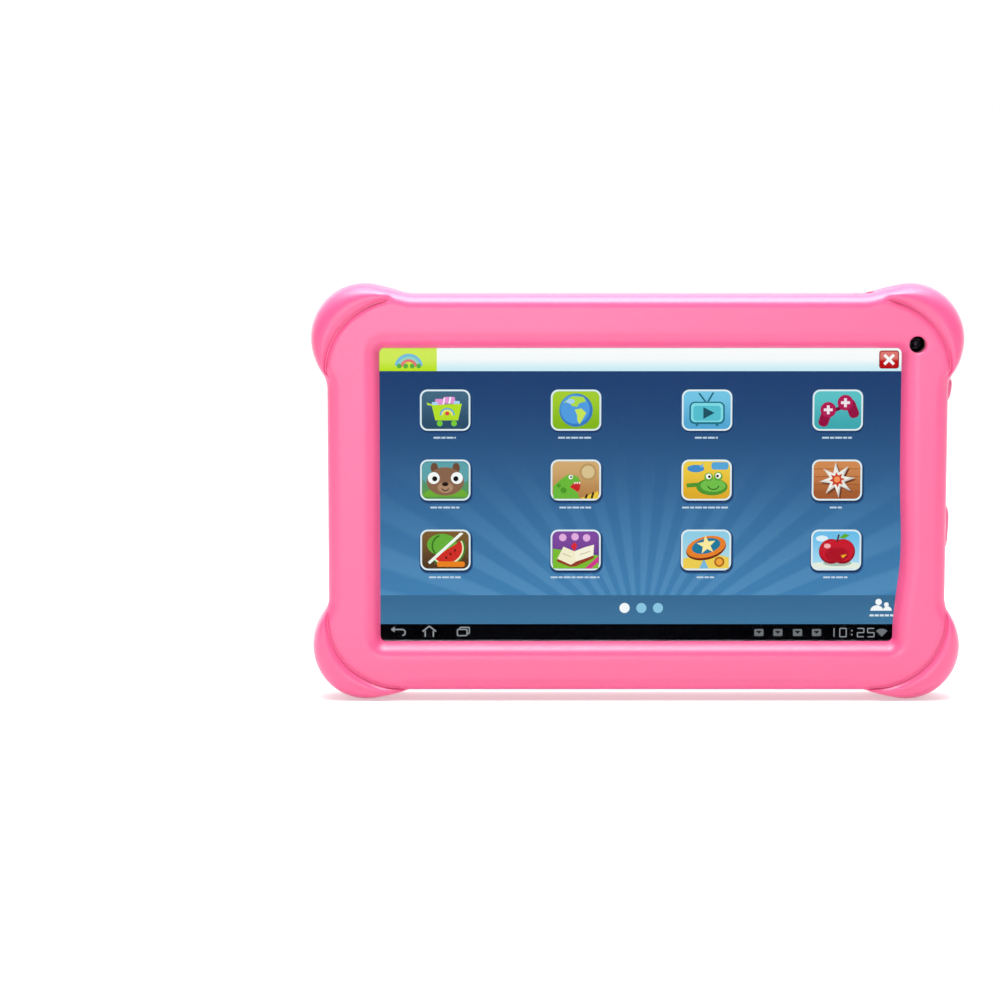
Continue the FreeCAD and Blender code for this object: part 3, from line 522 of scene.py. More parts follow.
def lathe(stations, at, along, length=0.0, up=(0, 0, 1), sides=56):
    """A cutter through (distance, radius) stations: round, or a stadium where length is given."""
    axis, up = Vector(along), Vector(up)
    across = axis.cross(up)
    straight = max(length / 2 - stations[-1][1], 0.0)
    rings = []
    for distance, radius in stations:
        ring = []
        for i in range(sides):
            a = 2 * math.pi * (i + 0.5) / sides
            shift = math.copysign(straight, math.cos(a)) + radius * math.cos(a)
            ring.append(Vector(at) + axis * distance + up * shift + across * (radius * math.sin(a)))
        rings.append(np.array(ring))
    return put("cutter", *skin(rings), [MATERIALS["case_silicone"]], body=None)


def rim(radius, round_r, depth):
    """Stations of a hole whose rim is rounded over by round_r."""
    stations = [(-2.5, radius + round_r)]
    for i in range(8):
        a = math.pi / 2 * i / 7
        stations.append((round_r * (1 - math.cos(a)), radius + round_r * (1 - math.sin(a))))
    return stations + [(depth, radius)]


def bumper():
    case = put("bumper", *case_mesh(), [MATERIALS["case_silicone"]], body=None)
    outwards(case)
    inward = (-1, 0, 0)
    carve(case, lathe(rim(2.4, 0.9, 6.0), (CAMERA_X, -HALF_T, CAMERA_Z), (0, 1, 0)))
    carve(case, lathe(rim(2.5, 0.6, 6.0), (JACK_X, JACK_Y, HALF_H), (0, 0, -1), up=(1, 0, 0)))
    carve(case, lathe(rim(0.8, 0.3, 5.0), (HALF_W, MIC_Y, MIC_Z), inward))
    carve(case, lathe(rim(3.2, 0.7, 5.0), (HALF_W, USB_Y, USB_Z), inward, 10.6))
    carve(case, lathe(rim(1.8, 0.5, 5.0), (SPEAKER_X, HALF_T, SPEAKER_Z), (0, -1, 0), 13.1, (1, 0, 0)))
    for name, (z, length) in KEYS.items():
        pocket = [(0.0, 3.0), (HALF_W - 88.95, 3.0)]
        carve(case, lathe([(-x, r) for x, r in pocket[::-1]], (87.4, KEY_Y, z), inward, length + 1.6))
    crisp(case)
    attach(case, "root")
    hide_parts("bumper_case")


# ---------------------------------------------------------------- soft buttons
KEYS = {"power": (29.9, 7.6), "volume": (-11.0, 14.4)}


def button_dome(name, node, body, z, length, rise, lean):
    """A soft dome over a key that flows out of the case's side. lean makes its upper end the higher one."""
    half_y = 2.7
    heights = [(1.32, -0.14), (1.22, -0.02), (1.12, 0.1), (1.02, 0.3), (0.92, 0.56), (0.8, 0.78)]
    heights += [(0.64, 0.92), (0.44, 0.985), (0.2, 1.0)]
    sides = 72
    rings = []
    for share, height in heights:
        radius = half_y * share
        straight = (length / 2 - half_y) * min(share, 1.0)
        ring = []
        for i in range(sides):
            a = 2 * math.pi * (i + 0.5) / sides
            dz = math.copysign(straight, math.cos(a)) + radius * math.cos(a)
            dy = radius * math.sin(a)
            tall = rise * (1 + lean * dz / (length / 2))
            ring.append((HALF_W + height * tall if height > 0 else HALF_W + height, KEY_Y + dy, z + dz))
        rings.append(np.array(ring))
    dome = put(name, *skin(rings), [MATERIALS["case_silicone"]], body=None)
    outwards(dome)
    crisp(dome)
    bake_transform(dome)
    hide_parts(node)


# ---------------------------------------------------------------- picture on the screen
def glow(name, colour, low=None, z_range=None):
    """A lit colour. With low and z_range it shades from low at the bottom up to colour."""
    paint = Paint(name, Base_Color=(0.0, 0.0, 0.0, 1.0), Roughness=0.6, Emission_Strength=1.0)
    paint.set(Specular_IOR_Level=0.0)
    if low:
        bottom, top = (MIDDLE.z + z * MM for z in z_range)
        paint.set(Emission_Color=paint.mix(paint.span(paint.axis("Z"), bottom, top), low, colour))
    else:
        paint.set(Emission_Color=colour)
    return paint.material


def wallpaper():
    """Navy at the top to light blue below, with faint rays that rise from the bottom edge's middle."""
    paint = Paint("wallpaper", Base_Color=(0.0, 0.0, 0.0, 1.0), Roughness=0.6, Emission_Strength=1.0)
    across = paint.math("SUBTRACT", paint.axis("X"), 0.0012)
    up = paint.math("SUBTRACT", paint.axis("Z"), MIDDLE.z - 0.047)
    angle = paint.math("ARCTAN2", across, up)
    beams = paint.span(paint.math("SINE", paint.math("MULTIPLY", angle, 40.0)), -0.5, 0.5)
    fade = paint.span(up, 0.008, 0.062, 0.2, 0.0)
    level = paint.span(paint.axis("Z"), MIDDLE.z - 0.042, MIDDLE.z + 0.038)
    plain = paint.mix(level, rgb(70, 132, 182), rgb(36, 66, 114))
    lit = paint.mix(paint.math("MULTIPLY", beams, fade), plain, rgb(128, 186, 226))
    paint.set(Emission_Color=lit, Specular_IOR_Level=0.0)
    return paint.material


LIT = {}


def lit(colour):
    """The lit material of one palette colour, made once."""
    if colour not in LIT:
        LIT[colour] = glow("lit_{}_{}_{}".format(*colour), rgb(*colour))
    return LIT[colour]


class Picture:
    """Flat shapes, each lying just in front of the last, gathered into one mesh."""

    def __init__(self, name, x=0.0, z=0.0, start=0):
        self.name, self.x, self.z = name, x, z
        self.layer = start
        self.points, self.faces, self.slots, self.materials = [], [], [], []

    def shape(self, points, colour, same_layer=False):
        material = lit(colour) if isinstance(colour, tuple) else colour
        if material not in self.materials:
            self.materials.append(material)
        self.layer += 0 if same_layer else 1
        first = len(self.points)
        y = PICTURE_Y - LAYER * self.layer
        self.points += [(self.x + x, y, self.z + z) for x, z in points]
        self.faces.append(tuple(range(first, first + len(points))))
        self.slots.append(self.materials.index(material))
        return self

    def shapes(self, many, colour):
        for i, points in enumerate(many):
            self.shape(points, colour, same_layer=i > 0)
        return self

    def done(self):
        made = put(self.name, self.points, self.faces, self.materials, slots=self.slots)
        face_front(made)
        return made


def face_front(piece):
    """Turns every flat shape to face the viewer."""
    work = bmesh.new()
    work.from_mesh(piece.data)
    turned = [f for f in work.faces if f.normal.y > 0]
    bmesh.ops.reverse_faces(work, faces=turned)
    work.to_mesh(piece.data)
    work.free()


def oval(x, z, rx, rz=None, start=0, end=360, count=28):
    rz = rx if rz is None else rz
    last = count if end - start < 360 else count - 1
    turns = [math.radians(start + (end - start) * i / count) for i in range(last + 1)]
    return [(x + rx * math.cos(a), z + rz * math.sin(a)) for a in turns]


def card(x, z, width, height, radius):
    """A rectangle with round corners."""
    a, b = width / 2 - radius, height / 2 - radius
    points = []
    for cx, cz, start in ((a, b, 0), (-a, b, 90), (-a, -b, 180), (a, -b, 270)):
        points += oval(x + cx, z + cz, radius, start=start, end=start + 90, count=6)
    return points


def strip(x0, x1, z0, z1):
    return [(x0, z0), (x1, z0), (x1, z1), (x0, z1)]


def bow(x, z, inner, outer, start, end, count=16):
    """Part of a ring."""
    there = oval(x, z, outer, start=start, end=end, count=count)
    back = oval(x, z, inner, start=start, end=end, count=count)
    return there + back[::-1]


def burst(x, z, outer, inner, tips, turn=90):
    """A star."""
    points = []
    for i in range(2 * tips):
        a = math.radians(turn + 180 * i / tips)
        r = inner if i % 2 else outer
        points.append((x + r * math.cos(a), z + r * math.sin(a)))
    return points


def line(x0, z0, x1, z1, width):
    """A straight stroke."""
    length = math.hypot(x1 - x0, z1 - z0)
    dx, dz = (x1 - x0) / length * width / 2, (z1 - z0) / length * width / 2
    return [(x0 - dz, z0 + dx), (x1 - dz, z1 + dx), (x1 + dz, z1 - dx), (x0 + dz, z0 - dx)]


def moved(points, x, z, turn=0.0, grow=1.0):
    c, s = math.cos(math.radians(turn)) * grow, math.sin(math.radians(turn)) * grow
    return [(x + px * c - pz * s, z + px * s + pz * c) for px, pz in points]


def draw_cart(p):
    p.shapes([card(-1.6, 2.2, 2.6, 2.2, 0.3), card(1.2, 2.9, 3.4, 2.0, 0.4)], (232, 150, 214))
    p.shapes([card(-3.0, 1.7, 1.8, 1.4, 0.3), card(3.4, 1.9, 1.8, 1.6, 0.3)], (176, 216, 246))
    p.shapes([line(-0.6, 1.3, -0.2, 3.6, 0.45), line(1.2, 1.9, 1.6, 3.9, 0.5)], (250, 244, 252))
    basket = [(-5.4, 2.3), (-5.2, 1.5), (-3.9, 1.3), (-2.9, -3.0), (3.8, -3.0), (4.9, 1.9), (-3.4, 1.5)]
    p.shape(basket, (186, 226, 44))
    p.shape(bow(0.6, -1.5, 1.7, 2.2, 0, 180), (104, 176, 216))
    p.shape(bow(0.6, -1.5, 1.2, 1.7, 0, 180), (250, 236, 120))
    p.shape(oval(0.6, -1.0, 0.6), (226, 66, 76))
    p.shapes([oval(-1.6, -3.9, 0.85), oval(2.6, -3.9, 0.85)], (120, 204, 62))


def draw_globe(p):
    p.shape(oval(0, 0, 4.9), (58, 124, 196))
    p.shape(oval(-0.3, 0.3, 4.3), (84, 158, 226))
    north = [(-3.7, 2.2), (-1.2, 4.1), (2.2, 3.9), (2.9, 2.6), (0.9, 2.0), (0.4, 1.0), (-1.2, 1.2)]
    p.shape(north + [(-2.0, 2.4)], (176, 220, 76))
    south = [(-0.4, 0.2), (1.6, 0.5), (3.0, -0.8), (2.0, -2.6), (1.0, -4.2), (0.4, -3.0), (0.3, -1.4)]
    p.shape(south, (204, 232, 92))
    p.shape(oval(-1.6, 2.6, 1.2, 0.7), (170, 212, 244))


def draw_tv(p):
    p.shapes([line(-2.4, 5.0, -0.4, 2.4, 0.5), line(1.8, 5.2, 0.2, 2.4, 0.5)], (38, 104, 124))
    p.shapes([line(-3.2, -4.6, -2.4, -3.6, 0.6), line(3.2, -4.6, 2.4, -3.6, 0.6)], (38, 104, 124))
    p.shape(card(0, -0.8, 10.4, 6.6, 1.6), (40, 116, 136))
    p.shape(card(0, -0.7, 9.4, 5.6, 1.2), (132, 222, 232))
    p.shape(card(0, -0.9, 8.0, 4.4, 0.9), (88, 192, 208))
    p.shape([(-1.1, 0.9), (2.2, -0.8), (-1.1, -2.6)], (34, 84, 100))


def draw_pads(p):
    p.shape(line(-2.4, -0.6, 2.6, 1.4, 1.1), (120, 16, 52))
    p.shape(moved(card(0, 0, 3.0, 6.2, 1.3), -3.6, -1.8, -18), (150, 20, 66))
    p.shape(moved(card(0, 0, 3.0, 5.6, 1.3), 4.2, 0.4, 22), (150, 20, 66))
    p.shapes([oval(-2.8, 0.1, 2.3), oval(2.2, 2.2, 2.3)], (178, 30, 84))
    for x, z in ((-2.8, 0.1), (2.2, 2.2)):
        p.shapes([line(x - 1.3, z, x + 1.3, z, 0.8), line(x, z - 1.3, x, z + 1.3, 0.8)], (246, 232, 240))


def draw_cub(p):
    p.shape(card(0, 2.2, 13.4, 6.0, 1.6), (96, 164, 172))
    p.shapes([oval(-2.9, -4.9, 3.7, 2.2, 0, 180), oval(3.3, -4.9, 3.3, 2.4, 0, 180)], (112, 174, 58))
    p.shapes([oval(-3.2, 3.6, 1.1, 1.5), oval(3.2, 3.6, 1.1, 1.5)], (112, 78, 58))
    p.shape(oval(0, -0.4, 5.5, 4.2), (140, 102, 78))
    p.shape(oval(0, -2.2, 2.3, 1.6), (176, 138, 108))
    p.shapes([oval(-3.4, 0.6, 1.75), oval(3.4, 0.6, 1.75)], (250, 250, 248))
    p.shapes([oval(-3.1, 0.4, 0.75), oval(3.1, 0.4, 0.75)], (24, 20, 20))
    p.shape(oval(0, -1.2, 1.0, 0.6), (44, 28, 24))
    p.shape(bow(0, -2.1, 0.9, 1.2, 200, 340), (60, 38, 30))


def draw_dino(p):
    p.shape([(1.2, -5.5), (6.6, -3.2), (6.6, -5.5)], (238, 200, 60))
    p.shapes([line(2.8, -5.4, 3.4, -4.2, 0.6), line(4.6, -5.4, 5.2, -3.6, 0.6)], (40, 34, 26))
    p.shape(oval(3.6, 2.4, 2.5), (188, 152, 96))
    p.shape(oval(3.6, 2.4, 1.9), (222, 196, 146))
    back = [(-6.6, -5.5), (-6.6, -1.8), (-4.2, 0.4), (-2.0, 1.8), (0.6, 1.0)]
    front = [(1.4, -0.4), (-0.6, -0.8), (-1.8, -2.0), (0.4, -3.6), (1.2, -5.5)]
    p.shape(back + front, (108, 186, 60))
    p.shape([(1.4, -0.5), (-0.6, -0.9), (-1.8, -2.0), (0.6, -3.5), (1.2, -2.6)], (206, 40, 40))
    p.shapes([[(x, -0.6), (x + 0.6, -0.6), (x + 0.3, -1.3)] for x in (-0.6, 0.1, 0.8)], (250, 248, 240))
    p.shapes([oval(-3.6, -3.0, 0.9), oval(-5.0, -1.6, 0.6)], (78, 152, 44))
    p.shape(oval(-1.5, 0.9, 0.65), (250, 250, 240))
    p.shape(oval(-1.4, 0.9, 0.3), (20, 24, 16))


def draw_frog(p):
    p.shape(card(3.9, 4.2, 5.0, 2.2, 0.8), (88, 168, 220))
    p.shape(oval(-3.2, 3.4, 2.5, 1.1), (70, 142, 204))
    p.shape([(-2.2, 4.0), (-0.8, 5.0), (-1.4, 3.4)], (96, 178, 230))
    p.shape(oval(1.6, -2.0, 4.6, 2.5), (80, 150, 52))
    p.shape(line(-5.8, -1.6, -0.8, -1.2, 1.2), (80, 150, 52))
    p.shape(oval(1.9, -1.6, 3.7, 1.9), (116, 192, 76))
    p.shapes([oval(0.6, 0.9, 1.3), oval(3.4, 1.1, 1.3)], (96, 172, 60))
    p.shapes([oval(0.6, 1.1, 0.85), oval(3.4, 1.3, 0.85)], (252, 250, 236))
    p.shapes([oval(0.8, 1.0, 0.4), oval(3.2, 1.2, 0.4)], (24, 28, 20))
    p.shape(bow(2.0, -0.9, 1.7, 2.0, 205, 335), (40, 84, 28))


def draw_star(p):
    p.shapes([strip(-6.7, 6.7, z, z + 0.18) for z in (-3.6, -1.4, 0.9, 3.2)], (150, 82, 44))
    p.shape(burst(0.5, -0.4, 5.3, 2.2, 8, 96), (112, 62, 40))
    p.shape(burst(0.0, 0.1, 5.3, 2.2, 8, 96), (216, 212, 206))
    p.shape(burst(-0.2, 0.3, 4.2, 1.9, 8, 96), (244, 240, 232))
    p.shape(burst(0.0, 0.1, 2.3, 1.3, 8, 96), (206, 60, 34))
    p.shape(oval(0.0, 0.2, 0.9), (250, 150, 90))


def draw_melon(p):
    p.shape(oval(-1.0, 1.6, 4.4, 3.2), (104, 176, 60))
    p.shapes([moved(bow(0, 0, 3.0, 3.5, 110, 200), -0.6, 1.2, 8 * i) for i in (0, 3)], (58, 118, 38))
    p.shape(moved(oval(0, 0, 5.4, 5.0, 180, 360), 0.6, 0.2, 32), (66, 128, 44))
    p.shape(moved(oval(0, 0, 4.9, 4.5, 180, 360), 0.6, 0.2, 32), (236, 236, 190))
    p.shape(moved(oval(0, 0, 4.5, 4.0, 180, 360), 0.6, 0.2, 32), (212, 48, 40))
    p.shapes([oval(0.2 + 1.3 * i, -2.3 + 1.1 * i, 0.25, 0.4) for i in (0, 1, 2)], (40, 24, 20))
    p.shape([(-4.6, -4.2), (5.3, 4.9), (4.4, 5.2), (-5.2, -3.6)], (244, 248, 240))
    p.shape(card(1.6, -4.2, 8.2, 1.6, 0.6), (238, 132, 34))


def draw_book(p):
    p.shape([(-6.7, -5.5), (-6.7, 0.4), (6.7, -1.6), (6.7, -5.5)], (124, 190, 52))
    p.shapes([oval(-3.8, 3.7, 1.1), oval(-0.2, 3.9, 1.1), oval(3.2, 3.6, 1.1)], (232, 176, 226))
    cover = [(-5.4, -2.6), (-1.4, -4.4), (0.2, -3.4), (5.2, -1.6), (5.4, -2.4), (0.2, -4.8), (-1.6, -5.0)]
    p.shape(cover + [(-5.6, -3.4)], (150, 60, 40))
    p.shape([(-5.4, -2.6), (-3.6, 1.0), (-0.4, -0.4), (0.2, -3.4), (-1.4, -4.4)], (248, 240, 206))
    p.shape([(0.2, -3.4), (-0.4, -0.4), (2.6, 0.8), (5.4, 1.6), (5.2, -1.6), (2.6, -2.6)], (252, 246, 222))
    p.shapes([line(-3.9, -1.0, -1.4, -2.0, 0.2), line(1.2, -1.4, 4.2, -0.4, 0.2)], (190, 176, 130))
    p.shape([(-1.4, 1.2), (-0.4, 2.4), (0.5, 1.4), (-0.4, -0.4)], (222, 44, 56))
    p.shape([(2.6, -5.5), (6.7, -1.8), (6.7, -3.6), (4.6, -5.5)], (212, 62, 140))


def draw_disc(p):
    p.shape([(-6.7, -5.5), (-6.7, -2.6), (0, -0.6), (6.7, -2.2), (6.7, -5.5)], (242, 208, 84))
    p.shape([(-2.0, -5.5), (-0.6, -2.6), (0.8, -5.5)], (120, 186, 222))
    p.shape(moved(oval(0, 0, 6.0, 3.4), 0.0, 0.5, 14), (112, 40, 24))
    p.shape(moved(oval(0, 0, 5.9, 3.1), 0.0, 0.9, 14), (236, 130, 44))
    p.shape(moved(oval(0, 0, 4.3, 2.2), 0.0, 1.2, 14), (36, 122, 158))
    p.shape(moved(burst(0, 0, 2.9, 1.2, 5, 90), 0.1, 1.5, 8), (255, 238, 160))
    p.shape(oval(3.9, -3.5, 1.5), (176, 92, 34))
    p.shape(oval(3.9, -3.5, 1.0), (244, 170, 62))


def draw_apple(p):
    p.shape(oval(-4.2, 3.4, 1.8, 0.9), (226, 244, 252))
    p.shape([(-6.7, -5.5), (-6.7, -3.8), (0, -3.2), (6.7, -3.8), (6.7, -5.5)], (232, 240, 226))
    p.shape(oval(0.4, -3.9, 4.2, 0.9), (170, 188, 176))
    p.shapes([oval(-1.4, -0.4, 3.7, 3.7), oval(1.9, -0.4, 3.7, 3.7)], (146, 18, 34))
    p.shapes([oval(-1.5, -0.1, 3.4, 3.3), oval(2.0, -0.1, 3.3, 3.3)], (204, 30, 48))
    p.shapes([oval(0.2, -1.4, 3.4, 2.2)], (176, 22, 40))
    p.shape(oval(-2.6, 1.2, 1.0, 0.7), (248, 176, 180))
    p.shape(line(0.2, 2.4, 0.8, 4.6, 0.5), (74, 44, 26))
    p.shape([(0.8, 3.6), (2.4, 4.9), (4.0, 4.4), (2.4, 3.4)], (96, 172, 54))
    p.shape([(1.4, -1.6), (3.2, -1.2), (2.0, -2.4)], (244, 186, 48))


APPS = [
    ("cart", draw_cart, (70, 106, 132), (46, 78, 104)),
    ("globe", draw_globe, (168, 208, 52), (134, 184, 30)),
    ("tv", draw_tv, (120, 200, 232), (84, 168, 212)),
    ("pads", draw_pads, (96, 196, 200), (64, 168, 176)),
    ("cub", draw_cub, (82, 142, 158), (92, 152, 72)),
    ("dino", draw_dino, (214, 172, 116), (184, 132, 76)),
    ("frog", draw_frog, (244, 208, 72), (226, 172, 44)),
    ("star", draw_star, (214, 140, 84), (166, 92, 50)),
    ("melon", draw_melon, (126, 92, 50), (84, 58, 36)),
    ("book", draw_book, (132, 76, 162), (98, 52, 132)),
    ("disc", draw_disc, (146, 208, 232), (186, 222, 226)),
    ("apple", draw_apple, (110, 192, 236), (170, 220, 246)),
]
APP_X = (-56.2, -17.9, 20.45, 58.7)
APP_Z = (24.35, 3.75, -16.95)
LABEL_DROP = 8.1
LABELS = (6.8, 10.4, 7.0, 9.0, 8.8, 9.6, 14.2, 4.0, 9.6, 14.6, 5.4, 7.4)


def app_icon(name, draw, high, low, x, z, label):
    """A tile with a pale rim, its drawing, its shadow, and dashes in place of a label."""
    p = Picture(f"app_{name}", x, z, start=3)
    p.shape(card(0.2, -0.5, 15.7, 13.0, 2.6), (44, 82, 132))
    p.shape(card(0.15, -0.35, 15.2, 12.5, 2.4), (28, 54, 92))
    p.shape(card(0, 0, 14.75, 12.1, 2.2), (226, 240, 246))
    tile = glow(f"tile_{name}", rgb(*high), rgb(*low), (z - 5.5, z + 5.5))
    p.shape(card(0, 0, 13.75, 11.1, 1.8), tile)
    draw(p)
    left = -label / 2
    dashes = []
    while left < label / 2 - 0.6:
        width = 1.5 if len(dashes) % 2 else 2.3
        right = min(left + width, label / 2)
        dashes.append(strip(left, right - 0.3, -LABEL_DROP - 0.26, -LABEL_DROP + 0.26))
        left = right
    p.shapes(dashes, (196, 213, 230))
    p.done()


def top_bar():
    p = Picture("top_bar", start=2)
    pale = glow("bar_shade", rgb(255, 255, 255), rgb(206, 240, 248), (35.8, 40.0))
    p.shape(strip(PICTURE_X[0], PICTURE_X[1], 35.8, PICTURE_Z[1]), pale)
    lime = glow("lime_shade", rgb(214, 238, 90), rgb(190, 230, 36), (35.8, 39.6))
    p.shape(strip(PICTURE_X[0], -58.6, 35.8, PICTURE_Z[1]), lime)
    hues = [(120, 190, 226), (150, 214, 200), (236, 120, 120)]
    for i, hue in enumerate(hues):
        p.shape(bow(-66.8, 36.7, 3.4 - 0.8 * i, 4.2 - 0.8 * i, 10, 170), hue)
    p.shapes([oval(-69.6 + 1.9 * i, 37.3, 0.7) for i in range(4)], (92, 176, 66))
    p.shape(card(73.5, 39.2, 5.8, 5.3, 0.8), (150, 16, 18))
    red = glow("red_shade", rgb(226, 120, 112), rgb(190, 20, 22), (38.6, 39.8))
    p.shape(card(73.5, 39.2, 5.2, 4.7, 0.6), red)
    cross = [line(72.1, 37.8, 74.9, 40.6, 0.85), line(72.1, 40.6, 74.9, 37.8, 0.85)]
    p.shape(cross[0], (252, 250, 250)).shape(cross[1], (252, 250, 250))
    p.done()


def lower_bars():
    p = Picture("lower_bars", start=2)
    x0, x1 = PICTURE_X
    dock = glow("dock_shade", rgb(60, 108, 148), rgb(66, 118, 158), (-39.0, -30.4))
    p.shape(strip(x0, x1, -39.0, -30.4), dock)
    p.shape(oval(-3.45, -34.2, 1.5), (250, 252, 254))
    p.shapes([oval(1.5, -34.2, 1.5), oval(6.4, -34.2, 1.5)], (142, 200, 228))
    p.shape(strip(x0, x1, PICTURE_Z[0] - 0.3, -39.0), (2, 2, 4))
    p.shapes([oval(71.4, -32.4, 0.95), oval(73.7, -33.2, 0.7)], (248, 250, 252))
    p.shapes([oval(70.9, -35.0, 1.9, 1.6, 0, 180), oval(74.0, -35.0, 1.3, 1.3, 0, 180)], (248, 250, 252))
    p.shapes([strip(68.8 + 1.5 * i, 70.0 + 1.5 * i, -36.7, -36.1) for i in range(5)], (220, 232, 242))
    p.done()


def segments(digit, x, z, width=1.9, height=2.5, stroke=0.3):
    """Strokes of one seven-segment figure."""
    a, b = width / 2, height / 2
    bars = {
        "t": line(x - a, z + b, x + a, z + b, stroke),
        "m": line(x - a, z, x + a, z, stroke),
        "b": line(x - a, z - b, x + a, z - b, stroke),
        "l": line(x - a, z, x - a, z + b, stroke),
        "r": line(x + a, z, x + a, z + b, stroke),
        "k": line(x - a, z - b, x - a, z, stroke),
        "s": line(x + a, z - b, x + a, z, stroke),
    }
    wanted = {"0": "tblrks", "1": "rs", "2": "trmkb", "5": "tlmsb"}
    return [bars[key] for key in wanted[digit]]


def nav_icons():
    p = Picture("nav_icons", start=10)
    grey, pale = (112, 116, 120), (150, 154, 158)
    z = -41.5
    p.shapes([line(-71.8, z + 0.9, -69.0, z + 0.9, 0.4), bow(-69.0, z, 0.7, 1.1, -90, 90, 8)], pale)
    p.shape([(-72.4, z + 0.9), (-71.2, z + 1.8), (-71.2, z)], pale)
    p.shapes([line(-63.0, z + 0.3, -61.0, z + 1.9, 0.4), line(-61.0, z + 1.9, -59.0, z + 0.3, 0.4)], pale)
    p.shapes([line(-62.2, z + 0.5, -62.2, z - 1.3, 0.4), line(-59.8, z + 0.5, -59.8, z - 1.3, 0.4)], pale)
    for dx, dz in ((0.7, 0.6), (0.0, 0.0)):
        p.shape(card(-51.3 + dx, z + dz, 3.2, 2.2, 0.5), pale)
        p.shape(card(-51.3 + dx, z + dz, 2.5, 1.5, 0.3), (2, 2, 4))
    for x in (36.2, 41.8, 47.6, 53.2):
        p.shape(card(x, z, 2.7, 2.1, 0.3), grey)
        p.shape([(x - 0.9, z + 0.5), (x, z - 0.4), (x + 0.9, z + 0.5)], (20, 20, 22))
    for digit, x in (("1", 57.4), ("0", 61.0), ("2", 66.2), ("5", 69.2)):
        p.shapes(segments(digit, x, z), pale)
    p.shapes([oval(63.6, z + 0.6, 0.25), oval(63.6, z - 0.6, 0.25)], pale)
    p.shape([(72.4, z - 1.2)] + oval(72.4, z - 1.2, 2.4, start=45, end=135, count=8), grey)
    p.done()


def screen():
    base = Picture("wallpaper")
    base.shape(strip(*PICTURE_X, *PICTURE_Z), wallpaper())
    base.done()
    top_bar()
    lower_bars()
    nav_icons()
    for i, (name, draw, high, low) in enumerate(APPS):
        app_icon(name, draw, high, low, APP_X[i % 4], APP_Z[i // 4], LABELS[i])


# ---------------------------------------------------------------- materials
MATERIALS = {
    "case_silicone": silicone(),
    "cover_glass": glass(),
    "sensor_film": film("touch_film", rgb(248, 252, 252)),
    "black_print": mottled("black_ink", rgb(9, 9, 10), rgb(5, 5, 6), 0.3, 0.5),
    "black_adhesive": mottled("black_glue", rgb(20, 20, 21), rgb(12, 12, 13), 0.6, 0.6),
    "flex_amber": copper_film(),
    "black_plastic": mottled("black_plastic", rgb(26, 27, 29), rgb(17, 18, 19), 0.5),
    "shell_plastic": mottled("shell_plastic", rgb(70, 73, 78), rgb(58, 61, 66), 0.45, 0.8),
    "pressed_steel": brushed("pressed_steel", rgb(206, 208, 212), rgb(176, 178, 184), 0.32),
    "display_cell": dark_cell(),
    "diffuser_film": mottled("diffuser_film", rgb(238, 240, 242), rgb(228, 231, 234), 0.6, 0.4),
    "light_guide": mottled("light_guide", rgb(226, 238, 240), rgb(214, 229, 233), 0.15, 0.7),
    "white_film": mottled("white_film", rgb(245, 245, 244), rgb(236, 236, 236), 0.4, 0.8),
    "white_led": mottled("white_diodes", rgb(246, 240, 206), rgb(238, 226, 168), 0.35, 0.5),
    "black_foam": mottled("black_foam", rgb(30, 30, 31), rgb(15, 15, 16), 0.85, 0.35, 0.05),
    "lens_glass": mottled("lens_coating", rgb(22, 18, 40), rgb(6, 7, 16), 0.08, 1.0, 0.001),
    "board_green": circuit_board(),
    "chip_black": mottled("chip_resin", rgb(34, 35, 37), rgb(24, 25, 27), 0.55, 0.4),
    "shield_tin": brushed("tinned_can", rgb(200, 202, 204), rgb(170, 172, 176), 0.38),
    "ferrite_grey": mottled("ferrite", rgb(78, 78, 82), rgb(60, 60, 64), 0.6, 0.5),
    "ceramic_tan": mottled("ceramic", rgb(190, 150, 106), rgb(166, 124, 80), 0.5, 0.3),
    "connector_ivory": mottled("ivory_nylon", rgb(236, 230, 212), rgb(224, 216, 194), 0.45, 0.7),
    "switch_body": mottled("switch_body", rgb(214, 216, 218), rgb(190, 192, 196), 0.4, 0.5),
    "battery_foil": mottled("battery_foil", rgb(196, 200, 204), rgb(170, 174, 180), 0.35, 2.0, 0.05,
                            Metallic=0.9),
    "lead_red": mottled("red_insulation", rgb(200, 30, 28), rgb(170, 20, 20), 0.45, 0.6),
    "lead_black": mottled("black_insulation", rgb(28, 28, 29), rgb(18, 18, 19), 0.45, 0.6),
    "cone_film": mottled("cone_film", rgb(44, 44, 48), rgb(30, 30, 33), 0.4, 0.9),
    "screw_black": brushed("blackened_steel", rgb(66, 66, 70), rgb(44, 44, 48), 0.4),
}


def dress():
    """Gives every piece of the assembly the material of its slot."""
    for part in frame["record"]["subparts"]:
        node = frame["nodes"][part["node"]]
        node.data.materials.clear()
        node.data.materials.append(MATERIALS[part["material_slot"]])


# ---------------------------------------------------------------- studio
FLOOR_HALF = 30.0
FLOOR_LIFT = 0.4
SKY_DIM, SKY_WHITE = 0.2, 1.3


def soft_light(place, power, width, height, aim=(0.0, 0.0, 0.06)):
    data = bpy.data.lights.new("softbox", "AREA")
    data.shape = "RECTANGLE"
    data.energy = power
    data.size, data.size_y = width, height
    holder = bpy.data.objects.new("softbox", data)
    holder.location = place
    holder.rotation_euler = (Vector(aim) - Vector(place)).to_track_quat("-Z", "Y").to_euler()
    holder.visible_camera = False
    bpy.context.scene.collection.objects.link(holder)


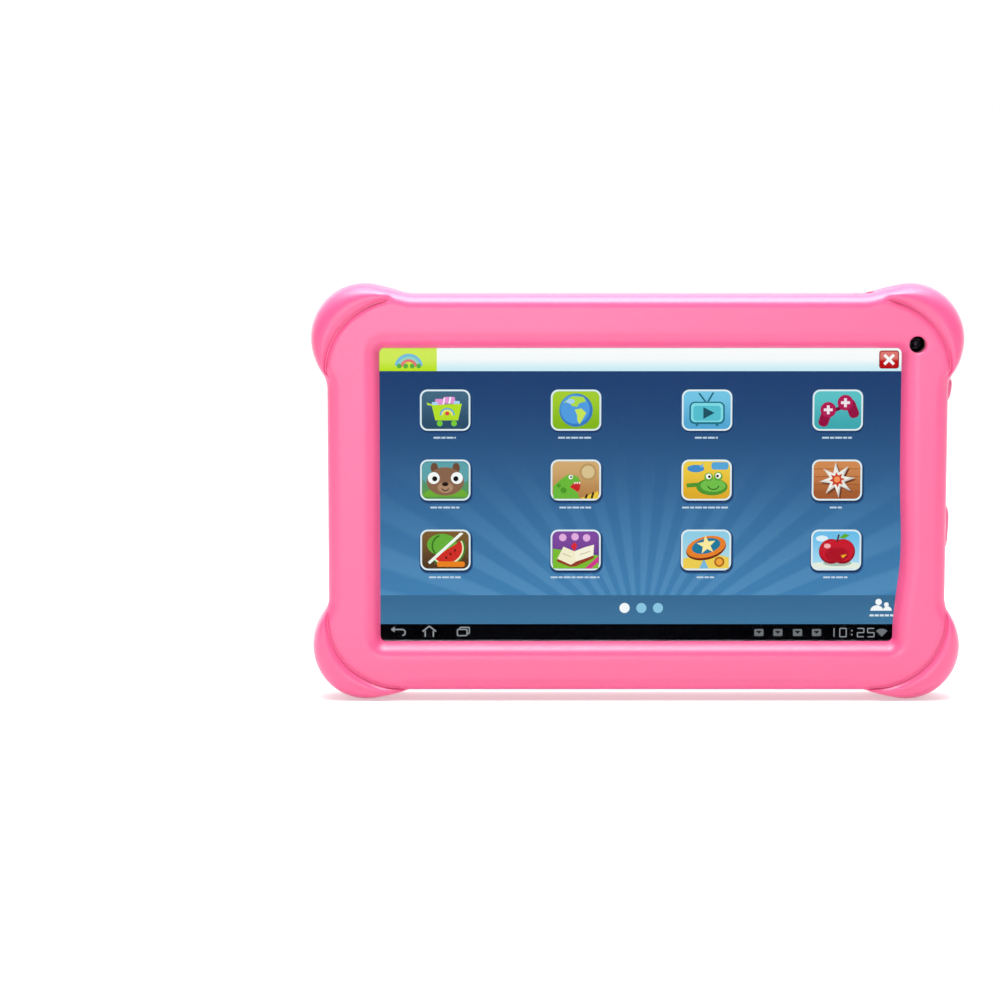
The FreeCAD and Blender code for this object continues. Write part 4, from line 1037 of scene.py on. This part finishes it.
def sky():
    """White above and behind the tablet and greyer elsewhere, so that the lamps shape its front."""
    world = bpy.data.worlds.new("studio")
    world.use_nodes = True
    tree = world.node_tree
    place = tree.nodes.new("ShaderNodeTexCoord")
    towards = tree.nodes.new("ShaderNodeVectorMath")
    towards.operation = "DOT_PRODUCT"
    towards.inputs[1].default_value = (0.0, 0.7, 0.7)
    level = tree.nodes.new("ShaderNodeMapRange")
    level.interpolation_type = "SMOOTHSTEP"
    for i, number in enumerate((0.1, 0.6, SKY_DIM, SKY_WHITE), start=1):
        level.inputs[i].default_value = number
    tree.links.new(place.outputs["Generated"], towards.inputs[0])
    tree.links.new(towards.outputs["Value"], level.inputs[0])
    tree.links.new(level.outputs[0], tree.nodes["Background"].inputs["Strength"])
    tree.nodes["Background"].inputs["Color"].default_value = (1.0, 1.0, 1.0, 1.0)
    return world


def studio():
    scene = bpy.context.scene
    scene.view_settings.view_transform = "Standard"
    scene.world = sky()
    paint = Paint("floor", Roughness=0.8, Emission_Color=(1.0, 1.0, 1.0, 1.0), Emission_Strength=FLOOR_LIFT)
    paint.set(Base_Color=paint.mix(paint.noise(3), rgb(203, 203, 203), rgb(206, 206, 206)))
    s = FLOOR_HALF
    mesh = bpy.data.meshes.new("floor")
    mesh.from_pydata([(-s, -s, 0), (s, -s, 0), (s, s, 0), (-s, s, 0)], [], [(0, 1, 2, 3)])
    mesh.materials.append(paint.material)
    floor = bpy.data.objects.new("floor", mesh)
    scene.collection.objects.link(floor)

    soft_light((-0.08, -0.8, 0.17), 1.85, 0.4, 0.22)
    soft_light((-0.75, -0.55, 0.1), 0.6, 0.4, 0.3)
    soft_light((0.85, -0.2, 0.1), 0.25, 0.3, 0.3)
    soft_light((0.0, -0.1, 0.6), 3.9, 0.5, 0.16)
    soft_light((0.0, 0.16, 0.7), 3.5, 0.8, 0.35)


def camera():
    data = bpy.data.cameras.new("camera")
    data.sensor_width = 36.0
    data.lens = 122.3
    data.clip_start = 0.01
    data.clip_end = 100.0
    holder = bpy.data.objects.new("camera", data)
    distance, elevation = 1.0, math.radians(7.0)
    aim = Vector((-0.04015, 0.0, MIDDLE.z - 0.00247))
    holder.location = aim + Vector((0, -math.cos(elevation), math.sin(elevation))) * distance
    holder.rotation_euler = (math.pi / 2 - elevation, 0, 0)
    bpy.context.scene.collection.objects.link(holder)
    bpy.context.scene.camera = holder


dress()
bumper()
button_dome("power_dome", "power_pad", "power_button", *KEYS["power"], 1.95, 0.3)
button_dome("volume_dome", "volume_pad", "volume_rocker", *KEYS["volume"], 1.65, 0.22)
screen()
studio()
camera()
